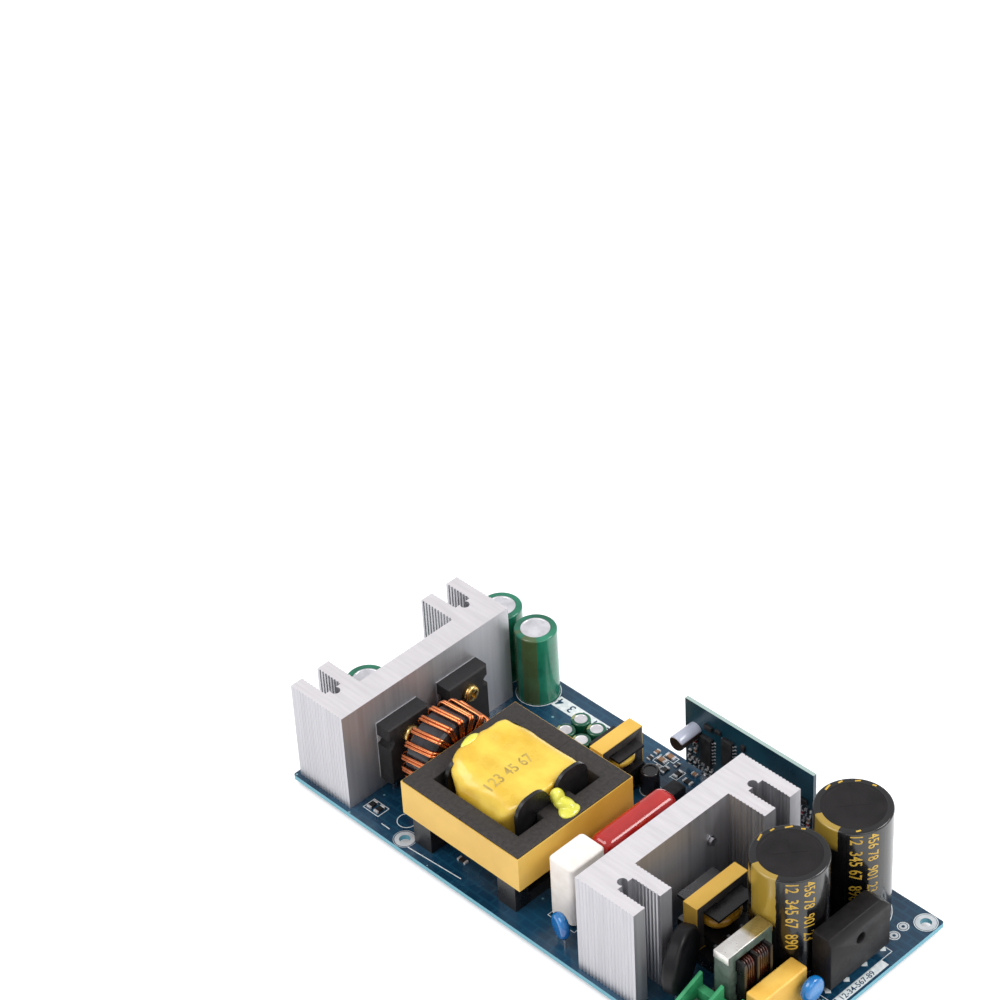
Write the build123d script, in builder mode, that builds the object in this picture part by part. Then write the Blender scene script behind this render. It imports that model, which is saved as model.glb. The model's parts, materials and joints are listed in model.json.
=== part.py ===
"""Open-frame switching power supply: one circuit board with everything that stands on it.

The origin is under the middle of the board, on the surface that the solder joints rest on. +X runs
along the board from the output end to the input end, +Y across it, +Z up. Places on the board are
measured from its left near corner, and heights of components from its top face.
"""

import os
from math import cos, radians, sin

from build123d import *

os.makedirs("parts", exist_ok=True)

# Circuit board
board_length = 177.0
board_width = 82.0
board_thickness = 1.6
board_corner = 0.8
solder_height = 2.0
solder_radius = 1.0
solder_tip_radius = 0.4
fixing_hole_radius = 1.6
fixing_hole_inset = 3.6
near_left_hole_x = 43.9

board_bottom = solder_height
board_top = board_bottom + board_thickness

# Heatsink extrusion
sink_height = 34.5
sink_width = 66.0
sink_depth = 21.5
sink_plate = 8.2
sink_block = 11.5
fin_thickness = 4.4
slot_width = 5.8
rib_pitch = 1.25
rib_groove = 0.42
screw_channel_radius = 1.45
screw_channel_reach = 1.0
output_sink_face = 23.2
input_sink_face = 115.5
sink_near_edge = 1.5

# Screws
screw_radius = 1.4
screw_head_radius = 2.8
screw_head_height = 2.0
screw_head_chamfer = 0.5
screw_tip = 1.0
board_screw_grip = 9.0
screw_hole_gap = 0.2

# Flat packages on the heatsinks
pad_thickness = 0.2
package_chamfer = 0.5
package_lead_width = 1.2
package_lead_thickness = 0.6
package_lead_gap = 3.0
rectifier_width = 15.8
rectifier_height = 20.8
rectifier_thickness = 5.0
rectifier_top = 24.8
rectifier_hole_drop = 5.6
rectifier_pitch = 5.45
rectifier_places = {"rear": 45.5, "front": 21.7}
transistor_width = 10.2
transistor_height = 15.6
transistor_thickness = 4.4
transistor_top = 24.8
transistor_hole_drop = 3.0
transistor_pitch = 2.54
transistor_places = {"rear": 45.8, "front": 22.0}
package_notch_radius = 1.6

# Output choke
choke_x = 37.6
choke_y = 28.0
choke_outer_radius = 12.8
choke_inner_radius = 7.2
choke_core_width = 9.8
choke_core_chamfer = 0.8
choke_wire_radius = 0.45
choke_wire_gap = 0.2
choke_strand_pitch = 1.0
choke_strand_tilt = 8.0
choke_pairs = 17
choke_open_angle = 62.0
choke_height_gap = 0.3

# Main transformer
core_x = 67.5
core_y = 26.5
core_length = 46.2
core_width = 44.8
core_thickness = 13.0
core_bottom = 10.0
core_back = 6.1
core_side_leg = 6.3
core_centre_leg = 12.4
core_tape_thickness = 0.3
core_tape_margin = 0.5
bobbin_wall = 1.2
bobbin_gap = 0.2
bobbin_end_gap = 2.5
bobbin_side_gap = 2.2
bobbin_flange_rises = {-1: 5.2, 1: 7.4}
bobbin_lobe_rounding = 5.0
bobbin_notch = 3.0
rail_width = 7.0
rail_spacing = 34.0
rail_length = 43.6
winding_side_gap = 0.8
winding_rise = 5.0
winding_rounding = 8.4
winding_end_rounding = 1.2
rail_foot = 5.0
rail_floor = 4.0
pin_pitch = 5.0
pins_per_rail = 7

# Electrolytic capacitors
sleeve_fold = 2.0
sleeve_recess = 0.3
sleeve_rounding = 0.6
bulk_radius = 11.0
bulk_height = 39.5
bulk_places = {"near": (154.6, 43.1), "far": (155.2, 68.2)}
bulk_pitch = 10.0
output_radius = 6.5
output_height = 25.0
output_places = {"far": (27.2, 74.4), "corner": (12.4, 74.6), "channel": (7.2, 25.4)}
output_pitch = 5.0
small_radius = 3.0
small_height = 11.0
small_pitch = 2.5
small_sleeve_fold = 1.0
small_spacing = 6.4
small_x = 57.2
small_y = 62.4
auxiliary_capacitor_radius = 2.9
auxiliary_capacitor_height = 8.0
auxiliary_capacitor_at = (81.4, board_width - 16.2)

# Gap between the main core's far edge and the middle of the auxiliary transformer
auxiliary_gap = 13.0

# Upright transformers with a vertical bobbin: x, y, core width, core height, core thickness, top, reach
upright_transformers = {
    "auxiliary_transformer": (72.0, core_y + core_width / 2 + auxiliary_gap, 16.0, 13.2, 5.0, 17.5, 3.6),
    "drive_transformer": (135.7, 34.6, 20.0, 15.6, 4.9, 20.5, 5.2),
}
upright_leg = 2.7
upright_centre_leg = 4.4
upright_tape = 0.25
upright_wall = 0.8
upright_gap = 0.15
upright_winding_inset = 0.7
upright_winding_rounding = 3.5
upright_pins = 4
upright_pin_pitch = 3.8

# Line choke: an upright core with a level middle bar and two windings side by side
line_choke_x = 156.3
line_choke_y = 22.8
line_choke_width = 17.0
line_choke_height = 18.4
line_choke_thickness = 5.3
line_choke_top = 24.2
line_choke_end = 2.8
line_choke_bar = 5.0
line_choke_reach = 2.9
line_choke_flange = 0.9
line_choke_clip = 0.3
line_choke_clip_lip = 2.4
line_choke_winding_rounding = 2.8
line_choke_pin_spacing = (10.6, 11.4)

# Control board, upright along the far edge
control_left = 82.0
control_length = 48.6
control_height = 24.8
control_thickness = 1.2
control_inset = 0.5
control_stand = 1.6
control_pin_pitch = 2.54
control_pin_width = 0.6
control_pin_rise = 3.2
control_pins = 14
control_capacitor_radius = 2.5
control_capacitor_length = 8.6
control_capacitor_at = (4.0, 15.0)
control_chips = [
    (9.0, 10.4, 3.9, 9.9, 1.5),
    (17.0, 14.0, 3.9, 9.9, 1.5),
    (24.4, 14.0, 5.0, 3.9, 1.5),
    (13.0, 19.6, 2.0, 1.3, 0.9),
    (9.4, 19.2, 2.9, 1.6, 1.1),
    (22.6, 19.4, 1.3, 2.0, 0.9),
    (31.0, 11.0, 2.9, 1.6, 1.1),
    (45.4, 13.6, 2.9, 1.6, 1.1),
]

# Box-shaped components: centre x, centre y, size along x, along y, height and stand over the board
film_capacitor = (99.8, 40.2, 8.2, 29.2, 17.6, 2.4)
ceramic_resistor = (100.2, 17.2, 9.2, 13.4, 21.0, 1.4)
ceramic_resistor_corner = 1.4
ceramic_resistor_top = 0.7
film_capacitor_corner = 3.1
film_capacitor_top = 3.0
line_capacitor_corner = 0.7
line_capacitor_top = 0.6
line_capacitor = (165.3, 26.1, 6.0, 18.2, 12.2, 0.0)
box_lead_inset = 3.4
lead_radius = 0.35

# Gap between the fin tips of the input heatsink and the thermistor's middle
thermistor_gap = 4.4

# Coated discs: centre x, centre y, radius, thickness, stand, turn about Z, lead pitch
coated_discs = {
    "suppression_capacitor_near": (105.2, 5.2, 4.0, 3.0, 2.4, 70.0, 5.0),
    "suppression_capacitor_side": (171.4, 33.4, 3.9, 3.2, 3.4, 0.0, 5.0),
    "thermistor": (input_sink_face + sink_depth + thermistor_gap, 14.4, 9.8, 4.6, 2.2, 22.0, 7.5),
}
disc_rounding = 1.4

# Bridge rectifier
bridge_x = 169.7
bridge_y = 51.1
bridge_width = 24.4
bridge_height = 18.0
bridge_thickness = 6.8
bridge_stand = 3.4
bridge_step = 2.4
bridge_step_depth = 1.2
bridge_corner = 3.2
bridge_hole_radius = 1.7
bridge_hole_drop = 7.0
bridge_lead_pitch = 6.4

# Line fuse
fuse_x = 170.6
fuse_y = 11.6
fuse_radius = 4.1
fuse_height = 7.6

# Barrier terminals
terminal_pitch = 7.62
terminal_poles = 2
terminal_wall = 1.2
terminal_depth = 12.7
terminal_floor = 6.0
terminal_height = 14.0
terminal_front_height = 9.0
terminal_back = 2.6
terminal_back_height = 9.6
terminal_screw_radius = 2.9
terminal_screw_height = 2.2
terminal_clamp = 0.8
terminal_gap = 0.2
terminal_places = {"input": (157.4, 7.2, 0.0), "output": (7.2, 42.4, -90.0)}

# Chips
optocoupler_length = 6.5
optocoupler_width = 4.6
optocoupler_height = 3.5
optocoupler_inset = 14.2
optocoupler_places = {"near": 88.2, "far": 95.6}
chip_height = 0.7
chip_places = [
    (26.9, 6.8, 1.6, 3.2),
    (29.8, 6.8, 1.6, 3.2),
    (83.0, board_width - 6.3, 1.6, 3.0),
    (87.4, board_width - 6.8, 3.0, 1.6),
    (102.6, board_width - 8.4, 3.0, 1.6),
    (46.2, 70.6, 1.6, 3.0),
]

solder_points = []


def spot(x, y):
    """A place on the board, measured from its left near corner, in the model's frame."""
    return (x - board_length / 2, y - board_width / 2)


def level(height):
    """The horizontal plane at a height over the board's top face."""
    return Plane.XY.offset(board_top + height)


def facing_x(x, y, height, direction=1):
    """An upright plane that looks along +X or -X, its own x axis along Y and its y axis up."""
    place_x, place_y = spot(x, y)
    return Plane(
        origin=(place_x, place_y, board_top + height), x_dir=(0, direction, 0), z_dir=(direction, 0, 0)
    )


def facing_near(x, y, height):
    """An upright plane that looks along -Y, its own x axis along X and its y axis up."""
    place_x, place_y = spot(x, y)
    return Plane(origin=(place_x, place_y, board_top + height), x_dir=(1, 0, 0), z_dir=(0, -1, 0))


def save(piece, name):
    piece.part.label = name
    export_step(piece.part, f"parts/{name}.step")


# Heatsinks: one extrusion, used twice with its flat face towards the middle of the board
sink_mid_y = sink_near_edge + sink_width / 2
slot_offset = sink_width / 2 - fin_thickness - slot_width / 2
channel_half = sink_width / 2 - 2 * fin_thickness - slot_width
screw_channel_depth = sink_block - screw_channel_reach


def rib_row(start, end):
    """Groove positions along one ribbed face, centred between its ends."""
    count = int((end - start - rib_groove) / rib_pitch)
    first = (start + end - (count - 1) * rib_pitch) / 2
    return [first + number * rib_pitch for number in range(count)]


def heatsink(name, face, direction, package_spots, hole_height):
    outline = Plane(
        origin=(*spot(face, sink_mid_y), board_top), x_dir=(direction, 0, 0), z_dir=(0, 0, 1)
    )
    with BuildPart() as sink:
        with BuildSketch(outline):
            Rectangle(sink_depth, sink_width, align=(Align.MIN, Align.CENTER))
            with Locations((sink_plate, 0)):
                Rectangle(sink_depth, 2 * channel_half, align=(Align.MIN, Align.CENTER), mode=Mode.SUBTRACT)
            for side in (-1, 1):
                with Locations((sink_block, side * slot_offset)):
                    Rectangle(sink_depth, slot_width, align=(Align.MIN, Align.CENTER), mode=Mode.SUBTRACT)
                with Locations((screw_channel_depth, side * slot_offset)):
                    Circle(screw_channel_radius, mode=Mode.SUBTRACT)
                    Rectangle(2 * screw_channel_reach, screw_channel_radius, mode=Mode.SUBTRACT)
                ribbed = [(rib_row(0, sink_depth), sink_width / 2)]
                ribbed.append((rib_row(sink_block, sink_depth), slot_offset + slot_width / 2))
                ribbed.append((rib_row(sink_block, sink_depth), slot_offset - slot_width / 2))
                ribbed.append((rib_row(sink_plate, sink_depth), channel_half))
                for row, offset_y in ribbed:
                    with Locations(*[(x, side * offset_y) for x in row]):
                        Rectangle(rib_groove, rib_groove, rotation=45, mode=Mode.SUBTRACT)
        extrude(amount=sink_height)
        for place in package_spots:
            with BuildSketch(facing_x(face, place, hole_height, direction)):
                Circle(screw_radius + screw_hole_gap / 2)
            extrude(amount=sink_plate, mode=Mode.SUBTRACT)
    save(sink, name)


rectifier_hole = rectifier_top - rectifier_hole_drop
transistor_hole = transistor_top - transistor_hole_drop
heatsink("output_heatsink", output_sink_face, -1, rectifier_places.values(), rectifier_hole)
heatsink("input_heatsink", input_sink_face, 1, transistor_places.values(), transistor_hole)

sink_screw_spots = []
for face, direction in ((output_sink_face, -1), (input_sink_face, 1)):
    for side in (-1, 1):
        screw_x = face + direction * screw_channel_depth
        sink_screw_spots.append(spot(screw_x, sink_mid_y + side * slot_offset))

# Pan-head screws from below, through the board into the screw channels of the heatsinks
with BuildPart() as board_screws:
    with BuildSketch(Plane.XY.offset(board_bottom - screw_head_height)):
        with Locations(*sink_screw_spots):
            Circle(screw_head_radius)
    extrude(amount=screw_head_height)
    chamfer(board_screws.edges().group_by(Axis.Z)[0], screw_head_chamfer)
    with BuildSketch(Plane.XY.offset(board_bottom)):
        with Locations(*sink_screw_spots):
            Circle(screw_radius)
    extrude(amount=board_thickness + board_screw_grip)
save(board_screws, "heatsink_board_screws")

# The board, with its fixing holes and the holes of the heatsink screws
right_hole_x = board_length - fixing_hole_inset
far_hole_y = board_width - fixing_hole_inset
fixing_spots = [
    spot(near_left_hole_x, fixing_hole_inset),
    spot(fixing_hole_inset, far_hole_y),
    spot(right_hole_x, fixing_hole_inset),
    spot(right_hole_x, far_hole_y),
]
with BuildPart() as board:
    with BuildSketch(Plane.XY.offset(board_bottom)):
        RectangleRounded(board_length, board_width, board_corner)
        with Locations(*fixing_spots):
            Circle(fixing_hole_radius, mode=Mode.SUBTRACT)
        with Locations(*sink_screw_spots):
            Circle(screw_radius + screw_hole_gap, mode=Mode.SUBTRACT)
    extrude(amount=board_thickness)
save(board, "circuit_board")


# Flat packages: moulded body with side notches and a screw hole, clamped over an insulating pad
def package(name, face, direction, place, width, height, thickness, top, hole_drop):
    front = face + direction * pad_thickness
    with BuildPart() as body:
        with BuildSketch(facing_x(front, place, top - height / 2, direction)):
            Rectangle(width, height)
            with Locations((0, height / 2 - hole_drop)):
                Circle(screw_radius + screw_hole_gap, mode=Mode.SUBTRACT)
            with Locations((-width / 2, height / 2 - hole_drop), (width / 2, height / 2 - hole_drop)):
                Circle(package_notch_radius, mode=Mode.SUBTRACT)
        extrude(amount=thickness)
        front_face = body.faces().sort_by(Axis.X)[-1 if direction > 0 else 0]
        chamfer(front_face.outer_wire().edges(), package_chamfer)
    save(body, name)


package_kinds = [
    ("output_rectifier", output_sink_face, 1, rectifier_places, rectifier_width, rectifier_height,
     rectifier_thickness, rectifier_top, rectifier_hole_drop, rectifier_pitch),
    ("switching_transistor", input_sink_face, -1, transistor_places, transistor_width, transistor_height,
     transistor_thickness, transistor_top, transistor_hole_drop, transistor_pitch),
]
for kind, face, direction, places, width, height, thickness, top, drop, pitch in package_kinds:
    for which, place in places.items():
        package(f"{kind}_{which}", face, direction, place, width, height, thickness, top, drop)

with BuildPart() as pads:
    for kind, face, direction, places, width, height, thickness, top, drop, pitch in package_kinds:
        for place in places.values():
            with BuildSketch(facing_x(face, place, top - height / 2, direction)):
                Rectangle(width, height)
                with Locations((0, height / 2 - drop)):
                    Circle(screw_radius + screw_hole_gap, mode=Mode.SUBTRACT)
            extrude(amount=pad_thickness)
save(pads, "insulating_pads")

with BuildPart() as package_screws:
    for kind, face, direction, places, width, height, thickness, top, drop, pitch in package_kinds:
        for place in places.values():
            seat = face + direction * (pad_thickness + thickness)
            with BuildSketch(facing_x(seat, place, top - drop, direction)):
                Circle(screw_head_radius)
            extrude(amount=screw_head_height)
            with BuildSketch(facing_x(seat, place, top - drop, direction)):
                Circle(screw_radius)
            extrude(amount=-(pad_thickness + thickness + sink_plate + screw_tip))
save(package_screws, "package_screws")

with BuildPart() as package_leads:
    for kind, face, direction, places, width, height, thickness, top, drop, pitch in package_kinds:
        for place in places.values():
            lead_x = face + direction * package_lead_gap
            feet = [spot(lead_x, place + number * pitch) for number in (-1, 0, 1)]
            solder_points.extend(feet)
            with BuildSketch(level(0)):
                with Locations(*feet):
                    Rectangle(package_lead_thickness, package_lead_width)
            extrude(amount=top - height)
save(package_leads, "package_leads")

# Output choke: a chamfered ring core standing upright, wound with a doubled wire
turn_outer = choke_outer_radius + choke_wire_gap + choke_wire_radius
turn_inner = choke_inner_radius - choke_wire_gap - choke_wire_radius
turn_side = (choke_core_width / 2 + choke_wire_gap + choke_wire_radius) / cos(radians(choke_strand_tilt))
choke_centre_height = turn_outer + choke_wire_radius + choke_height_gap
choke_plane = facing_x(choke_x, choke_y, choke_centre_height)

with BuildPart() as choke_core:
    with BuildSketch(choke_plane.offset(-choke_core_width / 2)):
        Circle(choke_outer_radius)
        Circle(choke_inner_radius, mode=Mode.SUBTRACT)
    extrude(amount=choke_core_width)
    chamfer(choke_core.edges().filter_by(GeomType.CIRCLE), choke_core_chamfer)
save(choke_core, "output_choke_core")

corner = choke_core_chamfer
with BuildPart() as turn:
    with BuildLine(Plane.XZ) as loop:
        Polyline(
            (turn_inner, 0),
            (turn_inner, turn_side - corner),
            (turn_inner + corner, turn_side),
            (turn_outer - corner, turn_side),
            (turn_outer, turn_side - corner),
            (turn_outer, corner - turn_side),
            (turn_outer - corner, -turn_side),
            (turn_inner + corner, -turn_side),
            (turn_inner, corner - turn_side),
            close=True,
        )
    with BuildSketch(Plane.XY.move(Location((turn_inner, 0, 0)))):
        RegularPolygon(choke_wire_radius, 6, major_radius=False)
    sweep(transition=Transition.RIGHT)

pair_step = (360.0 - choke_open_angle) / (choke_pairs - 1)
with BuildPart() as choke_winding:
    with Locations(choke_plane):
        for pair in range(choke_pairs):
            radial = Location((0, 0, 0), (0, 0, -90 + choke_open_angle / 2 + pair * pair_step))
            for strand in (-0.5, 0.5):
                beside = Location((0, strand * choke_strand_pitch, 0), (choke_strand_tilt, 0, 0))
                with Locations(radial * beside):
                    add(turn.part)
    for end in (-1, 1):
        angle = radians(choke_open_angle / 2)
        foot = spot(choke_x, choke_y + end * turn_outer * sin(angle))
        solder_points.append(foot)
        with BuildSketch(level(0)):
            with Locations(foot):
                RegularPolygon(choke_wire_radius, 6, major_radius=False)
        extrude(amount=choke_centre_height - turn_outer * cos(angle))
save(choke_winding, "output_choke_winding")


# Main transformer: two ferrite E halves that meet in the middle, lying flat on the bobbin's rails
window_width = (core_width - 2 * core_side_leg - core_centre_leg) / 2
window_offset = (core_centre_leg + window_width) / 2
window_half_length = core_length / 2 - core_back
window_span = core_width - 2 * core_side_leg


def core_half(name, direction):
    outline = Plane(
        origin=(*spot(core_x, core_y), board_top + core_bottom), x_dir=(direction, 0, 0), z_dir=(0, 0, 1)
    )
    with BuildPart() as half:
        with BuildSketch(outline):
            Rectangle(core_length / 2, core_width, align=(Align.MIN, Align.CENTER))
            with Locations((0, -window_offset), (0, window_offset)):
                Rectangle(
                    window_half_length, window_width, align=(Align.MIN, Align.CENTER), mode=Mode.SUBTRACT
                )
        extrude(amount=core_thickness)
    save(half, name)


core_half("transformer_core_left", -1)
core_half("transformer_core_right", 1)

with BuildPart() as core_tape:
    with BuildSketch(level(core_bottom + core_tape_margin)):
        with Locations(spot(core_x, core_y)):
            Rectangle(core_length + 2 * core_tape_thickness, core_width + 2 * core_tape_thickness)
            Rectangle(core_length, core_width, mode=Mode.SUBTRACT)
    extrude(amount=core_thickness - 2 * core_tape_margin)
save(core_tape, "transformer_core_tape")

# Bobbin: a tube round the centre leg, a flange at each end and a pin rail under each flange
tube_length = 2 * (window_half_length - bobbin_end_gap)
tube_width = core_centre_leg + 2 * (bobbin_gap + bobbin_wall)
tube_height = core_thickness + 2 * (bobbin_gap + bobbin_wall)
core_mid_height = core_bottom + core_thickness / 2
flange_width = window_span - 2 * bobbin_side_gap
core_top = core_bottom + core_thickness
lobe_width = (flange_width - bobbin_notch) / 2
lobe_offset = (lobe_width + bobbin_notch) / 2

with BuildPart() as bobbin:
    with BuildSketch(facing_x(core_x - tube_length / 2, core_y, core_mid_height)):
        Rectangle(tube_width, tube_height)
    extrude(amount=tube_length)
    for end, rise in bobbin_flange_rises.items():
        outer = core_x + end * tube_length / 2
        with BuildSketch(facing_x(outer, core_y, 0)):
            with Locations((0, (core_top + rail_floor) / 2)):
                Rectangle(flange_width, core_top - rail_floor)
            with Locations((-lobe_offset, core_top), (lobe_offset, core_top)):
                RectangleRounded(lobe_width, 2 * rise, bobbin_lobe_rounding)
        extrude(amount=-end * bobbin_wall)
        rail_x = core_x + end * rail_spacing / 2
        with BuildSketch(level(0)):
            with Locations(spot(rail_x, core_y)):
                Rectangle(rail_width, rail_length)
        extrude(amount=rail_floor)
        with BuildSketch(level(rail_floor)):
            for side in (-1, 1):
                with Locations(spot(rail_x, core_y + side * (rail_length - rail_foot) / 2)):
                    Rectangle(rail_width, rail_foot)
        extrude(amount=core_bottom - rail_floor)
    with BuildSketch(facing_x(core_x - core_length / 2, core_y, core_mid_height)):
        Rectangle(core_centre_leg + 2 * bobbin_gap, core_thickness + 2 * bobbin_gap)
    extrude(amount=core_length, mode=Mode.SUBTRACT)
save(bobbin, "transformer_bobbin")

for end in (-1, 1):
    for pin in range(pins_per_rail):
        pin_y = core_y + (pin - (pins_per_rail - 1) / 2) * pin_pitch
        solder_points.append(spot(core_x + end * rail_spacing / 2, pin_y))

# Taped winding between the flanges, bulging out of the core's window above and below
winding_length = tube_length - 2 * (bobbin_wall + bobbin_gap)
with BuildPart() as winding:
    with BuildSketch(facing_x(core_x - winding_length / 2, core_y, core_mid_height)):
        RectangleRounded(
            window_span - 2 * winding_side_gap, core_thickness + 2 * winding_rise, winding_rounding
        )
    extrude(amount=winding_length)
    fillet(winding.edges().filter_by(Axis.X, reverse=True), winding_end_rounding)
    with BuildSketch(facing_x(core_x - winding_length / 2, core_y, core_mid_height)):
        Rectangle(tube_width, tube_height)
    extrude(amount=winding_length, mode=Mode.SUBTRACT)
save(winding, "transformer_winding")


# Electrolytic capacitors: a sleeved can whose sleeve folds over the rim of its top
def electrolytic(name, x, y, radius, height, pitch, fold):
    with BuildPart() as can:
        with BuildSketch(level(0)):
            with Locations(spot(x, y)):
                Circle(radius)
        extrude(amount=height)
        fillet(can.edges().sort_by(Axis.Z)[-1], sleeve_rounding)
        with BuildSketch(level(height)):
            with Locations(spot(x, y)):
                Circle(radius - fold)
        extrude(amount=-sleeve_recess, mode=Mode.SUBTRACT)
    solder_points.extend([spot(x, y - pitch / 2), spot(x, y + pitch / 2)])
    save(can, name)


for which, (x, y) in bulk_places.items():
    electrolytic(f"bulk_capacitor_{which}", x, y, bulk_radius, bulk_height, bulk_pitch, sleeve_fold)
for which, (x, y) in output_places.items():
    electrolytic(f"output_capacitor_{which}", x, y, output_radius, output_height, output_pitch, sleeve_fold)
small_corners = [(-0.5, -0.5), (0.5, -0.5), (-0.5, 0.5), (0.5, 0.5)]
for number, (step_x, step_y) in enumerate(small_corners, start=1):
    x = small_x + step_x * small_spacing
    y = small_y + step_y * small_spacing
    name = f"small_capacitor_{number}"
    electrolytic(name, x, y, small_radius, small_height, small_pitch, small_sleeve_fold)


side_x, side_y = auxiliary_capacitor_at
electrolytic(
    "auxiliary_capacitor",
    side_x,
    side_y,
    auxiliary_capacitor_radius,
    auxiliary_capacitor_height,
    small_pitch,
    small_sleeve_fold,
)


# Upright transformers: two E halves in a ring of tape, a vertical bobbin with its pin base, a winding
def upright_transformer(name, x, y, width, height, thickness, top, reach):
    window_height = height - 2 * upright_leg
    window = (width - 2 * upright_leg - upright_centre_leg) / 2
    offset = (upright_centre_leg + window) / 2
    bottom = top - height
    middle = facing_x(x - thickness / 2, y, bottom + height / 2)
    with BuildPart() as core:
        for half in (-1, 1):
            with BuildSketch(middle):
                with Locations((0, half * height / 4)):
                    Rectangle(width, height / 2)
                with Locations((-offset, 0), (offset, 0)):
                    Rectangle(window, window_height, mode=Mode.SUBTRACT)
            extrude(amount=thickness)
    save(core, f"{name}_core")

    with BuildPart() as tape:
        with BuildSketch(middle):
            Rectangle(width + 2 * upright_tape, height + 2 * upright_tape)
            Rectangle(width, height, mode=Mode.SUBTRACT)
        extrude(amount=thickness)
    save(tape, f"{name}_tape")

    leg_x = thickness + 2 * upright_gap
    leg_y = upright_centre_leg + 2 * upright_gap
    outer_x = thickness + 2 * reach
    outer_y = width - 2 * upright_leg - 2 * upright_gap
    floor = bottom - upright_tape - upright_gap
    low = bottom + upright_leg + upright_gap
    high = top - upright_leg - upright_gap
    with BuildPart() as spool:
        with BuildSketch(level(low)):
            with Locations(spot(x, y)):
                Rectangle(leg_x + 2 * upright_wall, leg_y + 2 * upright_wall)
        extrude(amount=high - low)
        with BuildSketch(level(high - upright_wall)):
            with Locations(spot(x, y)):
                Rectangle(outer_x, outer_y)
        extrude(amount=upright_wall)
        with BuildSketch(level(low)):
            with Locations(spot(x, y)):
                Rectangle(outer_x, outer_y)
        extrude(amount=upright_wall)
        with BuildSketch(level(0)):
            with Locations(spot(x, y)):
                Rectangle(outer_x, width)
        extrude(amount=floor)
        with BuildSketch(level(0)):
            for side in (-1, 1):
                with Locations(spot(x + side * (outer_x + leg_x) / 4, y)):
                    Rectangle((outer_x - leg_x) / 2, outer_y)
        extrude(amount=low)
        with BuildSketch(level(low)):
            with Locations(spot(x, y)):
                Rectangle(leg_x, leg_y)
        extrude(amount=high - low, mode=Mode.SUBTRACT)
    save(spool, f"{name}_bobbin")

    inset = 2 * upright_winding_inset
    with BuildPart() as coil:
        with BuildSketch(level(low + upright_wall)):
            with Locations(spot(x, y)):
                RectangleRounded(outer_x - inset, outer_y - inset, upright_winding_rounding)
                Rectangle(leg_x + 2 * upright_wall, leg_y + 2 * upright_wall, mode=Mode.SUBTRACT)
        extrude(amount=high - low - 2 * upright_wall)
    save(coil, f"{name}_winding")
    for side in (-1, 1):
        for pin in range(upright_pins):
            pin_y = y + (pin - (upright_pins - 1) / 2) * upright_pin_pitch
            solder_points.append(spot(x + side * (outer_x + leg_x) / 4, pin_y))


for name, sizes in upright_transformers.items():
    upright_transformer(name, *sizes)

# Line choke: a ring core with a level middle bar, wound in two sections beside the end legs
choke_bottom = line_choke_top - line_choke_height
choke_mid = choke_bottom + line_choke_height / 2
choke_window = (line_choke_height - 2 * line_choke_end - line_choke_bar) / 2
choke_window_offset = (line_choke_bar + choke_window) / 2
choke_bar_length = line_choke_width - 2 * line_choke_end
choke_front = line_choke_x - line_choke_thickness / 2
with BuildPart() as line_core:
    with BuildSketch(facing_x(choke_front, line_choke_y, choke_mid)):
        Rectangle(line_choke_width, line_choke_height)
        with Locations((0, -choke_window_offset), (0, choke_window_offset)):
            Rectangle(choke_bar_length, choke_window, mode=Mode.SUBTRACT)
    extrude(amount=line_choke_thickness)
save(line_core, "line_choke_core")

with BuildPart() as clip:
    with BuildSketch(facing_near(line_choke_x, line_choke_y + line_choke_width / 2, line_choke_top)):
        Rectangle(line_choke_thickness, line_choke_clip, align=(Align.CENTER, Align.MIN))
    extrude(amount=line_choke_width)
    lip_height = line_choke_clip + line_choke_clip_lip
    for end in (-1, 1):
        end_y = line_choke_y + end * line_choke_width / 2
        with BuildSketch(facing_near(line_choke_x, end_y, line_choke_top)):
            with Locations((0, line_choke_clip)):
                Rectangle(line_choke_thickness, lip_height, align=(Align.CENTER, Align.MAX))
        extrude(amount=-end * line_choke_clip)
save(clip, "line_choke_clip")

bar_hole_x = line_choke_thickness + 2 * upright_gap
bar_hole_z = line_choke_bar + 2 * upright_gap
section_x = line_choke_thickness + 2 * line_choke_reach
section_z = line_choke_bar + 2 * choke_window - 2 * upright_gap
flange_places = [-choke_bar_length / 2 + upright_gap, -line_choke_flange / 2]
flange_places.append(choke_bar_length / 2 - upright_gap - line_choke_flange)
choke_base = choke_bottom - upright_gap
bar_start = line_choke_y + choke_bar_length / 2 - upright_gap
with BuildPart() as line_bobbin:
    with BuildSketch(facing_near(line_choke_x, bar_start, choke_mid)):
        Rectangle(bar_hole_x + 2 * upright_wall, bar_hole_z + 2 * upright_wall)
    extrude(amount=choke_bar_length - 2 * upright_gap)
    for place in flange_places:
        far_side = line_choke_y + place + line_choke_flange
        with BuildSketch(facing_near(line_choke_x, far_side, choke_mid)):
            Rectangle(section_x, section_z)
        extrude(amount=line_choke_flange)
        with BuildSketch(facing_near(line_choke_x, far_side, 0)):
            for side in (-1, 1):
                with Locations((side * (section_x + bar_hole_x) / 4, 0)):
                    Rectangle((section_x - bar_hole_x) / 2, choke_mid, align=(Align.CENTER, Align.MIN))
        extrude(amount=line_choke_flange)
    with BuildSketch(level(0)):
        with Locations(spot(line_choke_x, line_choke_y)):
            Rectangle(section_x, line_choke_width)
    extrude(amount=choke_base)
    with BuildSketch(facing_near(line_choke_x, line_choke_y + line_choke_width, choke_mid)):
        Rectangle(bar_hole_x, bar_hole_z)
    extrude(amount=2 * line_choke_width, mode=Mode.SUBTRACT)
save(line_bobbin, "line_choke_bobbin")

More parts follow.
